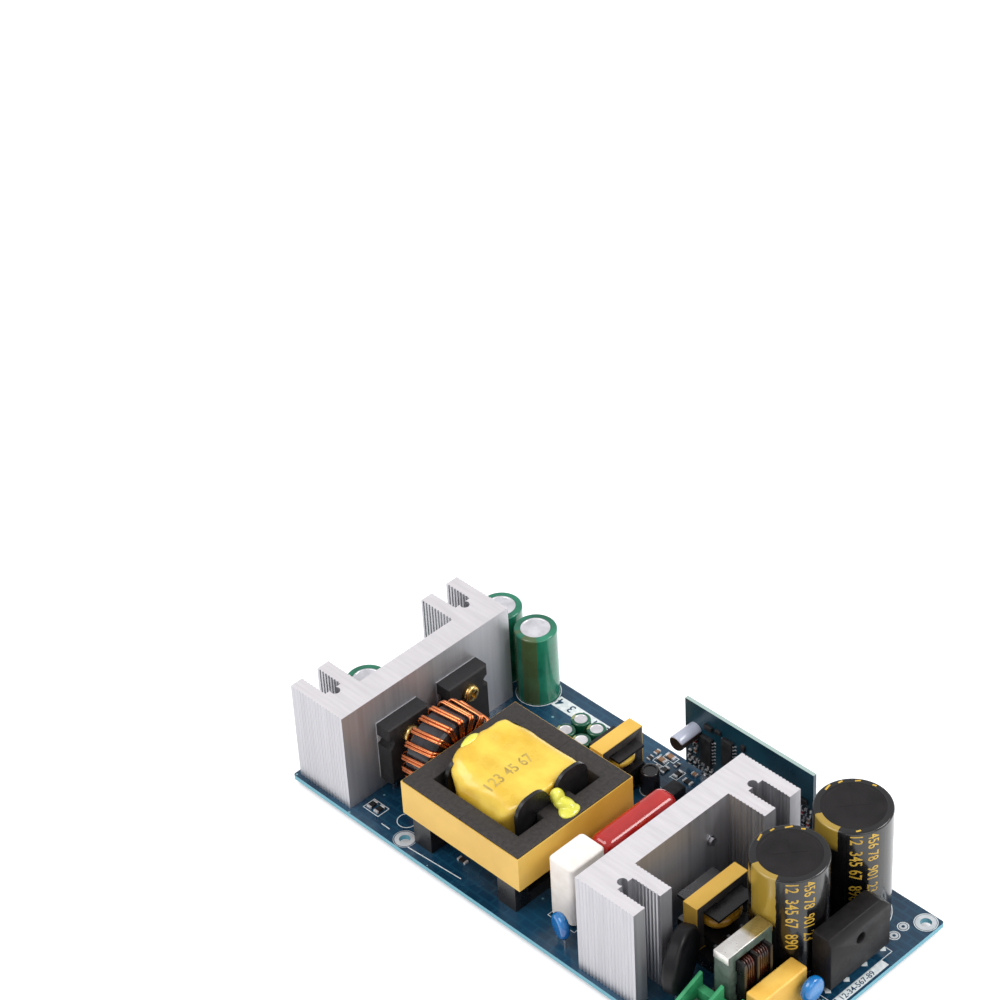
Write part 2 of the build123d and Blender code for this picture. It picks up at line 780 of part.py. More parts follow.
coil_room = (flange_places[1] - flange_places[0]) - line_choke_flange - 2 * upright_gap
with BuildPart() as line_windings:
    for place in flange_places[:2]:
        far_side = line_choke_y + place + line_choke_flange + upright_gap + coil_room
        with BuildSketch(facing_near(line_choke_x, far_side, choke_mid)):
            RectangleRounded(
                section_x - 2 * upright_winding_inset,
                section_z - 2 * upright_winding_inset,
                line_choke_winding_rounding,
            )
            Rectangle(bar_hole_x + 2 * upright_wall, bar_hole_z + 2 * upright_wall, mode=Mode.SUBTRACT)
        extrude(amount=coil_room)
save(line_windings, "line_choke_windings")
pin_step_x, pin_step_y = line_choke_pin_spacing
for side_x in (-0.5, 0.5):
    for side_y in (-0.5, 0.5):
        solder_points.append(spot(line_choke_x + side_x * pin_step_x, line_choke_y + side_y * pin_step_y))

# Control board, upright on its pin header, with its chips and a capacitor lying out from it
control_face = board_width - control_inset - control_thickness
with BuildPart() as control_board:
    with BuildSketch(facing_near(control_left, control_face + control_thickness, control_stand)):
        Rectangle(control_length, control_height, align=(Align.MIN, Align.MIN))
    extrude(amount=control_thickness)
save(control_board, "control_board")

pin_start = control_left + (control_length - (control_pins - 1) * control_pin_pitch) / 2
header_spots = [
    spot(pin_start + number * control_pin_pitch, control_face - control_pin_width / 2)
    for number in range(control_pins)
]
solder_points.extend(header_spots)
with BuildPart() as header:
    with BuildSketch(level(0)):
        with Locations(*header_spots):
            Rectangle(control_pin_width, control_pin_width)
    extrude(amount=control_pin_rise)
    with BuildSketch(level(0)):
        with Locations(spot(control_left + control_length / 2, control_face - control_pin_width / 2)):
            Rectangle(control_pins * control_pin_pitch, control_pin_width * 2)
    extrude(amount=control_stand)
save(header, "control_board_header")

with BuildPart() as control_parts:
    for x, z, size_x, size_z, size_y in control_chips:
        with BuildSketch(facing_near(control_left + x, control_face, control_stand + z)):
            Rectangle(size_x, size_z)
        extrude(amount=size_y)
save(control_parts, "control_board_chips")

lying_x, lying_z = control_capacitor_at
with BuildPart() as lying_capacitor:
    with BuildSketch(facing_near(control_left + lying_x, control_face, control_stand + lying_z)):
        Circle(control_capacitor_radius)
    extrude(amount=control_capacitor_length)
    fillet(lying_capacitor.edges().sort_by(Axis.Y)[0], sleeve_rounding)
save(lying_capacitor, "control_board_capacitor")


# Box-shaped components: dipped film capacitor, ceramic resistor and line filter capacitor
def boxed(name, x, y, size_x, size_y, height, stand, rounding, top_rounding):
    with BuildPart() as box:
        with BuildSketch(level(stand)):
            with Locations(spot(x, y)):
                RectangleRounded(size_x, size_y, rounding)
        extrude(amount=height)
        fillet(box.faces().sort_by(Axis.Z)[-1].edges(), top_rounding)
    save(box, name)
    leads = [spot(x, y + side * (size_y / 2 - box_lead_inset)) for side in (-1, 1)]
    solder_points.extend(leads)
    return leads if stand > 0 else []


standing_leads = {}
film_leads = boxed("film_capacitor", *film_capacitor, film_capacitor_corner, film_capacitor_top)
standing_leads[film_capacitor[5]] = film_leads
resistor_leads = boxed("ceramic_resistor", *ceramic_resistor, ceramic_resistor_corner, ceramic_resistor_top)
standing_leads[ceramic_resistor[5]] = resistor_leads
boxed("line_filter_capacitor", *line_capacitor, line_capacitor_corner, line_capacitor_top)


# Coated discs, each standing on two leads
def coated_disc(name, x, y, radius, thickness, stand, turn, pitch):
    across = (cos(radians(turn)), sin(radians(turn)))
    along = (-across[1], across[0])
    place_x, place_y = spot(x, y)
    origin = (
        place_x - across[0] * thickness / 2,
        place_y - across[1] * thickness / 2,
        board_top + stand + radius,
    )
    with BuildPart() as disc:
        with BuildSketch(Plane(origin=origin, x_dir=(*along, 0), z_dir=(*across, 0))):
            Circle(radius)
        extrude(amount=thickness)
        fillet(disc.edges().filter_by(GeomType.CIRCLE), disc_rounding)
    save(disc, name)
    reach_x, reach_y = along[0] * pitch / 2, along[1] * pitch / 2
    return [(place_x + side * reach_x, place_y + side * reach_y) for side in (-1, 1)]


disc_leads = []
for name, sizes in coated_discs.items():
    x, y, radius, thickness, stand, turn, pitch = sizes
    feet = coated_disc(name, *sizes)
    solder_points.extend(feet)
    edge_height = stand + radius - (radius**2 - (pitch / 2 - lead_radius) ** 2) ** 0.5
    disc_leads.append((feet, edge_height))

# Bridge rectifier: moulded body, thicker at the back, with a bevelled corner on its plus side
with BuildPart() as bridge:
    with BuildSketch(facing_x(bridge_x - bridge_thickness / 2, bridge_y, bridge_stand)):
        with BuildLine():
            Polyline(
                (-bridge_width / 2, 0),
                (bridge_width / 2, 0),
                (bridge_width / 2, bridge_height - bridge_corner),
                (bridge_width / 2 - bridge_corner, bridge_height),
                (-bridge_width / 2, bridge_height),
                close=True,
            )
        make_face()
        with Locations((0, bridge_height - bridge_hole_drop)):
            Circle(bridge_hole_radius, mode=Mode.SUBTRACT)
    extrude(amount=bridge_thickness)
    top_edges = bridge.faces().sort_by(Axis.Z)[-1].edges()
    chamfer(top_edges.sort_by(Axis.X)[-1], bridge_step_depth, bridge_step)
save(bridge, "bridge_rectifier")

bridge_feet = [spot(bridge_x, bridge_y + (number - 1.5) * bridge_lead_pitch) for number in range(4)]
solder_points.extend(bridge_feet)

with BuildPart() as leads:
    with BuildSketch(level(0)):
        with Locations(*bridge_feet):
            Rectangle(package_lead_thickness, package_lead_width)
    extrude(amount=bridge_stand)
    for stand, feet in standing_leads.items():
        with BuildSketch(level(0)):
            with Locations(*feet):
                RegularPolygon(lead_radius, 6)
        extrude(amount=stand)
    for feet, height in disc_leads:
        with BuildSketch(level(0)):
            with Locations(*feet):
                RegularPolygon(lead_radius, 6)
        extrude(amount=height)
save(leads, "component_leads")

with BuildPart() as line_fuse:
    with BuildSketch(level(0)):
        with Locations(spot(fuse_x, fuse_y)):
            Circle(fuse_radius)
    extrude(amount=fuse_height)
    fillet(line_fuse.edges().sort_by(Axis.Z)[-1], sleeve_rounding)
save(line_fuse, "line_fuse")
solder_points.extend([spot(fuse_x, fuse_y - output_pitch / 2), spot(fuse_x, fuse_y + output_pitch / 2)])

# Barrier terminals: a moulded row with walls between its clamps, open towards the board's edge
terminal_length = terminal_poles * terminal_pitch + terminal_wall
clamp_size = terminal_pitch - terminal_wall - 2 * terminal_gap
bay_depth = terminal_depth - terminal_back - terminal_gap
bays = [((pole - (terminal_poles - 1) / 2) * terminal_pitch, 0) for pole in range(terminal_poles)]


def terminal_base(x, y, turn):
    across = (cos(radians(turn)), sin(radians(turn)), 0)
    return Plane(origin=(*spot(x, y), board_top), x_dir=across, z_dir=(0, 0, 1))


for which, (x, y, turn) in terminal_places.items():
    place_x, place_y = spot(x, y)
    across = (cos(radians(turn)), sin(radians(turn)), 0)
    base = terminal_base(x, y, turn)
    with BuildPart() as terminal:
        with BuildSketch(base):
            Rectangle(terminal_length, terminal_depth)
        extrude(amount=terminal_height)
        with BuildSketch(base.offset(terminal_floor)):
            with Locations(*[(bay_x, -terminal_back) for bay_x, _ in bays]):
                Rectangle(terminal_pitch - terminal_wall, terminal_depth)
        extrude(amount=terminal_height, mode=Mode.SUBTRACT)
        with BuildSketch(base.offset(terminal_back_height)):
            with Locations(*[(bay_x, 0) for bay_x, _ in bays]):
                Rectangle(terminal_pitch - terminal_wall, terminal_depth)
        extrude(amount=terminal_height, mode=Mode.SUBTRACT)
        back = (-across[1], across[0], 0)
        reach_x, reach_y = across[0] * terminal_length / 2, across[1] * terminal_length / 2
        side = (place_x - reach_x, place_y - reach_y, board_top)
        with BuildSketch(Plane(origin=side, x_dir=back, z_dir=across)):
            with BuildLine():
                Polyline(
                    (-terminal_depth / 2, terminal_front_height),
                    (terminal_depth / 2, terminal_height),
                    (-terminal_depth / 2, terminal_height),
                    close=True,
                )
            make_face()
        extrude(amount=terminal_length, mode=Mode.SUBTRACT)
    save(terminal, f"{which}_terminal")
    for bay_x, _ in bays:
        solder_points.append((place_x + across[0] * bay_x, place_y + across[1] * bay_x))

# Clamps and screws of the terminals: one like the next, one solid in each bay
with BuildPart() as clamps:
    for place in terminal_places.values():
        base = terminal_base(*place)
        with BuildSketch(base.offset(terminal_floor)):
            with Locations(*[(bay_x, -terminal_back / 2 - terminal_gap) for bay_x, _ in bays]):
                Rectangle(clamp_size, bay_depth - terminal_gap)
        extrude(amount=terminal_clamp)
        with BuildSketch(base.offset(terminal_floor + terminal_clamp)):
            with Locations(*[(bay_x, -terminal_back / 2) for bay_x, _ in bays]):
                Circle(terminal_screw_radius)
        extrude(amount=terminal_screw_height)
save(clamps, "terminal_screws")

# Optocouplers and surface chips
for which, x in optocoupler_places.items():
    with BuildPart() as optocoupler:
        with BuildSketch(level(0)):
            with Locations(spot(x, board_width - optocoupler_inset)):
                Rectangle(optocoupler_width, optocoupler_length)
        extrude(amount=optocoupler_height)
    save(optocoupler, f"optocoupler_{which}")

with BuildPart() as chips:
    for x, y, size_x, size_y in chip_places:
        with BuildSketch(level(0)):
            with Locations(spot(x, y)):
                Rectangle(size_x, size_y)
        extrude(amount=chip_height)
save(chips, "surface_chips")

# Solder joints under every lead, which the board rests on with its screw heads
with BuildPart() as joint:
    with BuildSketch(Plane.XY.offset(board_bottom)):
        RegularPolygon(solder_radius, 6)
    with BuildSketch(Plane.XY):
        RegularPolygon(solder_tip_radius, 6)
    loft()

with BuildPart() as solder:
    with Locations(*[(x, y, 0) for x, y in solder_points]):
        add(joint.part)
save(solder, "solder_joints")
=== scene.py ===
# %% [markdown]
# # An open-frame switching power supply
# The solids of this board were made in CAD and come in as a fixed frame: circuit board, heatsinks,
# transformers, capacitors and terminals. In these cells each surface gets the finish that it has on the
# bench, and the small things that solids leave out are added: round wires, screw recesses, tape
# wrinkles, glue, print and chip ends.

import json
import math
import random

import bpy
from mathutils import Matrix, Vector


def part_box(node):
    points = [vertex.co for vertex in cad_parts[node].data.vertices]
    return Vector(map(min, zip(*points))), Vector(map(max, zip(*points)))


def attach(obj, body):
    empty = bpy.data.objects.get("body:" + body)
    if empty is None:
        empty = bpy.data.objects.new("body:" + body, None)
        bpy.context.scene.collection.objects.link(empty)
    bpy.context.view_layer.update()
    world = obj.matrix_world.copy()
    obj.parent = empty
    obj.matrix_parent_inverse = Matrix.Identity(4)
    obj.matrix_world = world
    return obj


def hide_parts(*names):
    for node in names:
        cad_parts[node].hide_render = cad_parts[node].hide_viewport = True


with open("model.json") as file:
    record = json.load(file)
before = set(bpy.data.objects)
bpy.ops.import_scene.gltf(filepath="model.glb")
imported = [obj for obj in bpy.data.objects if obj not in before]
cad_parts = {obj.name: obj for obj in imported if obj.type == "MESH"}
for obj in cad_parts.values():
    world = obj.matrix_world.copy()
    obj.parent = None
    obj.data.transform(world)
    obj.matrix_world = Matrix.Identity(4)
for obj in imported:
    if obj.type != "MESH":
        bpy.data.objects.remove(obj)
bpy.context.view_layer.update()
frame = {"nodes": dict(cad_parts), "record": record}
bpy.ops.object.select_all(action="DESELECT")
MM = 0.001
print("solids loaded:", len(frame["nodes"]))


# %% [markdown]
# ## Places on the board
# A person at a bench measures a component from the board's left near corner and from its top face.
# The shared frame has its origin under the middle of the board, so one small helper turns bench
# millimetres into metres of the frame, and every later cell can use bench numbers. Three more give a
# place, a step or a turn as a matrix.

# %% From bench millimetres to the frame
BOARD_LENGTH, BOARD_WIDTH, BOARD_TOP = 177.0, 82.0, 3.6


def on_board(x, y, height=0.0):
    return Vector(((x - BOARD_LENGTH / 2) * MM, (y - BOARD_WIDTH / 2) * MM, (height + BOARD_TOP) * MM))


def at(x, y, height=0.0):
    return Matrix.Translation(on_board(x, y, height))


def moved(x=0.0, y=0.0, z=0.0):
    return Matrix.Translation((x * MM, y * MM, z * MM))


def turned(axis, degrees):
    return Matrix.Rotation(math.radians(degrees), 4, axis)


print("far right corner:", on_board(BOARD_LENGTH, BOARD_WIDTH))


# %% [markdown]
# ## Colours as they are seen
# A given colour is a screen value from 0 to 255. The shader wants linear light, so `tone`
# undoes the screen curve. Linear numbers could be guessed instead, but dark blues and blacks go wrong
# that way.

# %% Screen tones to linear colour
def tone(red, green, blue):
    def straight(value):
        value = value / 255
        return value / 12.92 if value <= 0.04045 else ((value + 0.055) / 1.055) ** 2.4

    return (straight(red), straight(green), straight(blue), 1.0)


print("middle grey:", round(tone(128, 128, 128)[0], 3))


# %% [markdown]
# ## A mottle that all finishes share
# No moulded, coated or drawn surface is one flat colour. One node group makes soft patches at a scale
# that each material chooses, and stretches them where a surface was drawn or brushed along one way.
# A group keeps it in one place: each finish only sets its own grain. `add_node` takes for each input
# either a plain value or the output that feeds it.

# %% Node group: mottle
def feed(tree, ends, inputs):
    for key, value in inputs.items():
        if isinstance(value, bpy.types.NodeSocket):
            tree.links.new(value, ends[key])
        else:
            ends[key].default_value = value


def add_node(tree, kind, inputs, **settings):
    made = tree.nodes.new("ShaderNode" + kind)
    for key, value in settings.items():
        setattr(made, key, value)
    feed(tree, made.inputs, inputs)
    return made.outputs


def compute(tree, operation, *values):
    return add_node(tree, "Math", dict(enumerate(values)), operation=operation)["Value"]


def new_group(name, inputs, outputs):
    group = bpy.data.node_groups.new(name, "ShaderNodeTree")
    for side, sockets in (("INPUT", inputs), ("OUTPUT", outputs)):
        for label, kind in sockets.items():
            group.interface.new_socket(label, in_out=side, socket_type="NodeSocket" + kind)
    return group, group.nodes.new("NodeGroupInput").outputs, group.nodes.new("NodeGroupOutput").inputs


mottle, entry, leave = new_group(
    "mottle", {"Vector": "Vector", "Stretch": "Vector", "Grain": "Float"}, {"Mask": "Float", "Fine": "Float"}
)
drawn = {0: entry["Vector"], 1: entry["Stretch"]}
stretched = add_node(mottle, "VectorMath", drawn, operation="MULTIPLY")["Vector"]
finer = compute(mottle, "MULTIPLY", entry["Grain"], 7.0)
patches = add_node(mottle, "TexNoise", {"Vector": stretched, "Scale": entry["Grain"], "Detail": 4.0})
specks = add_node(mottle, "TexNoise", {"Vector": stretched, "Scale": finer, "Detail": 2.0})
spread = add_node(mottle, "MapRange", {"Value": patches["Fac"], "From Min": 0.32, "From Max": 0.68})
feed(mottle, leave, {"Mask": spread["Result"], "Fine": specks["Fac"]})
print("group made:", mottle.name)


# %% [markdown]
# ## Two masks: what faces up, and a band round a can
# A circuit board has a coloured face and a pale cut edge, and a heatsink has a sawn top and drawn
# sides, so one mask tells upward and downward faces from upright ones. The stripe and the print of a
# capacitor lie in a sector round the can's axis, so the other mask compares the direction from that
# axis with the middle of the stripe.

# %% Node groups: level_faces and can_band
LEVEL_ENOUGH = 0.7
level_faces, entry, leave = new_group("level_faces", {"Normal": "Vector"}, {"Mask": "Float"})
upward = add_node(level_faces, "SeparateXYZ", {"Vector": entry["Normal"]})["Z"]
size_only = compute(level_faces, "ABSOLUTE", upward)
feed(level_faces, leave, {"Mask": compute(level_faces, "GREATER_THAN", size_only, LEVEL_ENOUGH)})

can_band, entry, leave = new_group(
    "can_band",
    {"Vector": "Vector", "Axis": "Vector", "Towards": "Vector", "Closeness": "Float", "Fray": "Float"},
    {"Mask": "Float"},
)
direction = entry["Vector"]
for operation, others in (("SUBTRACT", {1: entry["Axis"]}), ("MULTIPLY", {1: (1.0, 1.0, 0.0)}), ("NORMALIZE", {})):
    direction = add_node(can_band, "VectorMath", {0: direction, **others}, operation=operation)["Vector"]
agree = add_node(can_band, "VectorMath", {0: direction, 1: entry["Towards"]}, operation="DOT_PRODUCT")["Value"]
rough_edge = compute(can_band, "ADD", agree, entry["Fray"])
feed(can_band, leave, {"Mask": compute(can_band, "GREATER_THAN", rough_edge, entry["Closeness"])})
print("groups made:", level_faces.name, can_band.name)


# %% [markdown]
# ## One recipe for a finish
# `finish` builds a material in four steps: place the mottle on object coordinates, mix a dark and a
# light tone with it, let the gloss wander a little, and press the fine specks into the surface as bump.
# `paint_over` then lays a second colour where a mask says so, such as print, a stripe or a cut edge.
# The masks come from the way a face looks, from noise, or from a fade along one axis.

# %% Finish helpers
BUMP_DEPTH = 0.0004
DULL = 0.22


def coordinates(tree, kind="Object"):
    return tree.nodes.new("ShaderNodeTexCoord").outputs[kind]


def finish(
    name, dark, light, grain, gloss, stretch=(1, 1, 1), metallic=0.0, relief=0.04, coat=0.0, specular=0.5
):
    made = bpy.data.materials.new(name)
    made.use_nodes = True
    tree = made.node_tree
    place = {"Vector": coordinates(tree), "Stretch": stretch, "Grain": grain}
    grained = add_node(tree, "Group", place, node_tree=mottle)
    tones = {"Factor": grained["Mask"], "A": tone(*dark), "B": tone(*light)}
    mix = add_node(tree, "Mix", tones, data_type="RGBA")
    wander = add_node(tree, "MapRange", {"Value": grained["Mask"], "To Min": gloss[0], "To Max": gloss[1]})
    press = add_node(tree, "Bump", {"Height": grained["Fine"], "Strength": relief, "Distance": BUMP_DEPTH})
    feed(tree, tree.nodes["Principled BSDF"].inputs, {
        "Base Color": mix["Result"], "Roughness": wander["Result"], "Normal": press["Normal"],
        "Metallic": metallic, "Coat Weight": coat, "Specular IOR Level": specular,
    })
    return made


def paint_over(made, mask, value, label="Base Color"):
    tree = made.node_tree
    end = tree.nodes["Principled BSDF"].inputs[label]
    kind = "FLOAT"
    if label == "Base Color":
        kind, value = "RGBA", tone(*value)
    layer = {"Factor": mask, "A": end.links[0].from_socket, "B": value}
    tree.links.new(add_node(tree, "Mix", layer, data_type=kind)["Result"], end)


def upright_and_level(made):
    tree = made.node_tree
    level = add_node(tree, "Group", {"Normal": coordinates(tree, "Normal")}, node_tree=level_faces)["Mask"]
    return compute(tree, "SUBTRACT", 1.0, level), level


def noise_mask(made, scale, stretch=(1, 1, 1)):
    tree = made.node_tree
    placed = add_node(tree, "Mapping", {"Vector": coordinates(tree), "Scale": stretch})
    noise = add_node(tree, "TexNoise", {"Vector": placed["Vector"], "Scale": scale})
    return add_node(tree, "MapRange", {"Value": noise["Fac"], "From Min": 0.3, "From Max": 0.7})["Result"]


def fade(made, kind, axis, low, high, at_low=0.0, at_high=1.0):
    tree = made.node_tree
    along = add_node(tree, "SeparateXYZ", {"Vector": coordinates(tree, kind)})[axis]
    ends = {"Value": along, "From Min": low, "From Max": high, "To Min": at_low, "To Max": at_high}
    return add_node(tree, "MapRange", ends)["Result"]


print("finish helpers ready")


# %% [markdown]
# ## The circuit board
# Solder resist is a thin coloured lacquer over copper. Where copper lies below, it looks a little
# lighter, in straight runs and broad areas, and tiny plated holes dot it. The cut edge shows pale
# glass laminate. A brick texture gives the straight runs and a cell texture the dots.

# %% Board finish
resist = finish("blue_solder_resist", (10, 44, 68), (21, 66, 94), 60, (0.22, 0.36), relief=0.03, coat=0.25)
tree = resist.node_tree
runs = add_node(tree, "TexBrick", {
    "Vector": coordinates(tree), "Scale": 90.0, "Mortar Size": 0.035,
    "Color1": (0, 0, 0, 1), "Color2": (0.18, 0.18, 0.18, 1), "Mortar": (0.75, 0.75, 0.75, 1),
})
dots = add_node(tree, "TexVoronoi", {"Vector": coordinates(tree), "Scale": 190.0})
paint_over(resist, compute(tree, "MULTIPLY", runs["Color"], 0.25), (40, 104, 128))
paint_over(resist, compute(tree, "LESS_THAN", dots["Distance"], 0.075), (120, 165, 175))
board_edge, _ = upright_and_level(resist)
paint_over(resist, board_edge, (104, 168, 184))
paint_over(resist, board_edge, 0.62, "Roughness")

control_resist = finish("dark_solder_resist", (10, 44, 58), (16, 62, 78), 80, (0.25, 0.4), coat=0.2)
_, control_top = upright_and_level(control_resist)
paint_over(control_resist, control_top, (158, 178, 172))
print("boards:", resist.name, control_resist.name)


# %% [markdown]
# ## Metals
# The heatsinks are cut from an extrusion: their sides carry fine lines along the drawing direction,
# which is upright here, and their tops the faint arcs of a saw. Stretching the mottle thin across and
# long upright gives the lines; a slow, bent noise on the level faces gives the saw marks. The brass
# screw has a plated tip and the spring clip turns olive towards one end, so each fades along one axis.

# %% Metals
SIDE_METAL, SAWN_METAL = 0.8, 0.35
aluminium = finish(
    "drawn_aluminium", (184, 183, 187), (196, 195, 199), 900, (0.38, 0.46), stretch=(1, 1, 0.02),
    metallic=SIDE_METAL, relief=0.02,
)
tree = aluminium.node_tree
_, sawn = upright_and_level(aluminium)
saw_marks = compute(tree, "MULTIPLY", sawn, noise_mask(aluminium, 700, stretch=(0.12, 1.2, 1)))
paint_over(aluminium, sawn, (207, 203, 205))
paint_over(aluminium, saw_marks, (218, 214, 216))
paint_over(aluminium, sawn, 0.5, "Roughness")
less_metal = add_node(tree, "MapRange", {"Value": sawn, "To Min": SIDE_METAL, "To Max": SAWN_METAL})
feed(tree, tree.nodes["Principled BSDF"].inputs, {"Metallic": less_metal["Result"]})

tinned = finish("tinned_metal", (170, 170, 172), (214, 214, 216), 900, (0.22, 0.4), metallic=1.0)
bright_solder = finish("bright_solder", (178, 180, 184), (222, 223, 226), 700, (0.14, 0.34), metallic=1.0)
zinc = finish("zinc_plated_steel", (160, 160, 160), (205, 205, 202), 500, (0.25, 0.42), metallic=1.0)
brass = finish("plain_brass", (176, 142, 84), (222, 190, 120), 600, (0.18, 0.36), metallic=1.0)
bare_tip = fade(brass, "Object", "X", on_board(120.0, 0).x, on_board(120.5, 0).x)
paint_over(brass, bare_tip, (212, 211, 212))
strip_metal = finish("bright_strip", (206, 202, 196), (232, 229, 224), 160, (0.2, 0.36), metallic=0.7)
# The clip's top fades from silver to olive along its length.
olive_end_fade = fade(strip_metal, "Object", "Y", on_board(0, 23.5).y, on_board(0, 25.5).y)
paint_over(strip_metal, olive_end_fade, (158, 140, 84))
copper = finish(
    "enamelled_copper", (218, 124, 72), (226, 136, 84), 300, (0.18, 0.24), metallic=1.0, relief=0.0, coat=0.4
)
dark_copper = finish(
    "dark_enamelled_copper", (22, 15, 13), (96, 42, 26), 240, (0.14, 0.26), metallic=0.7, relief=0.0, coat=0.6
)
print("metals:", aluminium.name, copper.name, brass.name)


# %% [markdown]
# ## Ferrite, plastics and coatings
# Ferrite is dull and slightly grainy. Moulded epoxy is matt with a fine skin, polyester tape is smooth
# with soft light, and dipped coatings are thick and glossy. They differ in tone, grain and gloss, so
# the same recipe serves, with values for each. The tape gets painted shade where it turns away from
# above, and the sleeve of the lying capacitor gets a painted pale sheen on its upper half.

# %% Non-metals
ferrite = finish("sintered_ferrite", (50, 47, 46), (64, 60, 58), 900, (0.42, 0.58), relief=0.08, specular=DULL)
greenish_ferrite = finish("greenish_ferrite", (58, 72, 64), (80, 96, 86), 700, (0.3, 0.5), relief=0.08)
powder_core = finish(
    "coated_powder_core", (28, 26, 28), (58, 56, 62), 200, (0.2, 0.36), relief=0.05, coat=0.4, specular=DULL
)
yellow_tape = finish("yellow_tape", (212, 166, 64), (228, 186, 88), 60, (0.28, 0.4), relief=0.02)
winding_tape = finish(
    "crumpled_yellow_tape", (216, 174, 48), (236, 204, 78), 120, (0.24, 0.36), relief=0.03, coat=0.3
)
# Painted shade: the tape is darkened on faces that turn away from above.
painted_flank_shade = fade(winding_tape, "Normal", "Z", -0.75, 0.7, at_low=1.0, at_high=0.0)
paint_over(winding_tape, painted_flank_shade, (170, 116, 28))
amber_tape = finish("amber_tape", (176, 124, 30), (222, 164, 50), 160, (0.2, 0.36), relief=0.02, coat=0.2)
bobbin_black = finish("moulded_black", (14, 13, 14), (30, 28, 29), 260, (0.24, 0.4), relief=0.08)
package_black = finish("package_epoxy", (34, 33, 34), (46, 45, 46), 420, (0.46, 0.62), relief=0.1, specular=DULL)
bridge_black = finish("bridge_epoxy", (17, 16, 17), (26, 24, 25), 420, (0.4, 0.56), relief=0.08, specular=DULL)
chip_black = finish("chip_epoxy", (26, 26, 28), (46, 46, 48), 700, (0.4, 0.58), relief=0.1, specular=DULL)
pad_grey = finish("insulating_pad", (150, 150, 152), (182, 182, 184), 300, (0.6, 0.78))
red_coat = finish("red_dipped_coat", (166, 24, 22), (196, 40, 34), 70, (0.12, 0.2), relief=0.02, coat=0.6)
blue_coat = finish("blue_dipped_coat", (10, 86, 156), (24, 128, 196), 160, (0.14, 0.28), relief=0.06, coat=0.6)
dark_coat = finish("dark_dipped_coat", (17, 16, 18), (27, 26, 28), 180, (0.34, 0.5), relief=0.08, specular=DULL)
ceramic_white = finish("white_ceramic", (236, 228, 220), (246, 240, 234), 260, (0.5, 0.68), relief=0.03)
yellow_case = finish("yellow_moulded_case", (228, 176, 72), (244, 198, 96), 160, (0.34, 0.5), relief=0.05)
terminal_green = finish("green_moulded_terminal", (34, 128, 80), (62, 164, 108), 200, (0.38, 0.54), relief=0.06)
grey_sleeve = finish("grey_sleeve", (34, 26, 22), (52, 42, 36), 200, (0.14, 0.26), coat=0.5)
# Painted sheen: faces that turn up get a pale silver-blue, the light from above painted into the sleeve.
paint_over(grey_sleeve, fade(grey_sleeve, "Normal", "Z", 0.25, 0.45), (178, 182, 198))
fuse_shell = finish("fuse_shell", (22, 22, 24), (38, 38, 40), 260, (0.36, 0.5))
print("non-metals:", len(bpy.data.materials), "materials so far")


# %% [markdown]
# ## Sleeved cans
# An electrolytic capacitor wears a shrunk sleeve with a band of another colour down one side: a gold
# one on the big black cans, which ends part of the way down, and faint print on the green ones. The
# band runs over the folded rim too, so it is a sector of the whole can, with an edge that the shrinking
# has made uneven.

# %% Sleeve finishes
BULK = {"near": (154.6, 43.1), "far": (155.2, 68.2)}
OUTPUT = {"far": (27.2, 74.4), "corner": (12.4, 74.6), "channel": (7.2, 25.4)}
SMALL = {1: (54.0, 59.2), 2: (60.4, 59.2), 3: (54.0, 65.6), 4: (60.4, 65.6)}
AUXILIARY = (81.4, 65.8)
GOLD_BAND = {"near": (268, 23.0), "far": (264, 33.0)}


def sleeve_finish(name, dark, light):
    return finish(name, dark, light, 120, (0.14, 0.26), relief=0.03, coat=0.3)


def sleeve(name, dark, light, place, bands, colour, lowest=0.0):
    made = sleeve_finish(name, dark, light)
    tree = made.node_tree
    fray = compute(tree, "MULTIPLY", noise_mask(made, 380), 0.012)
    above = fade(made, "Object", "Z", on_board(0, 0, lowest - 1.2).z, on_board(0, 0, lowest + 1.2).z)
    for azimuth, half_width, strength in bands:
        angle = math.radians(azimuth)
        band = add_node(tree, "Group", {
            "Vector": coordinates(tree),
            "Axis": on_board(*place),
            "Towards": (math.cos(angle), math.sin(angle), 0.0),
            "Closeness": math.cos(math.radians(half_width)) + 0.006,
            "Fray": fray,
        }, node_tree=can_band)
        weaker = compute(tree, "MULTIPLY", band["Mask"], strength)
        paint_over(made, compute(tree, "MULTIPLY", weaker, above), colour)
    return made


sleeves = {}
for which, place in BULK.items():
    azimuth, lowest = GOLD_BAND[which]
    sleeves[f"bulk_capacitor_{which}"] = sleeve(
        f"black_sleeve_{which}", (8, 7, 8), (15, 13, 15), place, [(azimuth, 24, 1.0)], (158, 130, 50), lowest
    )
for which, place in OUTPUT.items():
    faint = [(244, 9, 0.5), (296, 22, 0.62)]
    sleeves[f"output_capacitor_{which}"] = sleeve(
        f"green_sleeve_{which}", (16, 92, 68), (38, 132, 102), place, faint, (92, 84, 30)
    )
for which, place in SMALL.items():
    sleeves[f"small_capacitor_{which}"] = sleeve(
        f"small_sleeve_{which}", (12, 70, 50), (24, 100, 74), place, [(200, 24, 0.6)], (180, 180, 120)
    )
sleeves["auxiliary_capacitor"] = sleeve_finish("black_sleeve_small", (20, 18, 20), (34, 31, 34))
print("sleeves:", len(sleeves))


# %% [markdown]
# ## Every solid gets its finish
# The record names a material slot for each solid. A table from slot to finish dresses them all in one
# loop, and the cans take their sleeves.

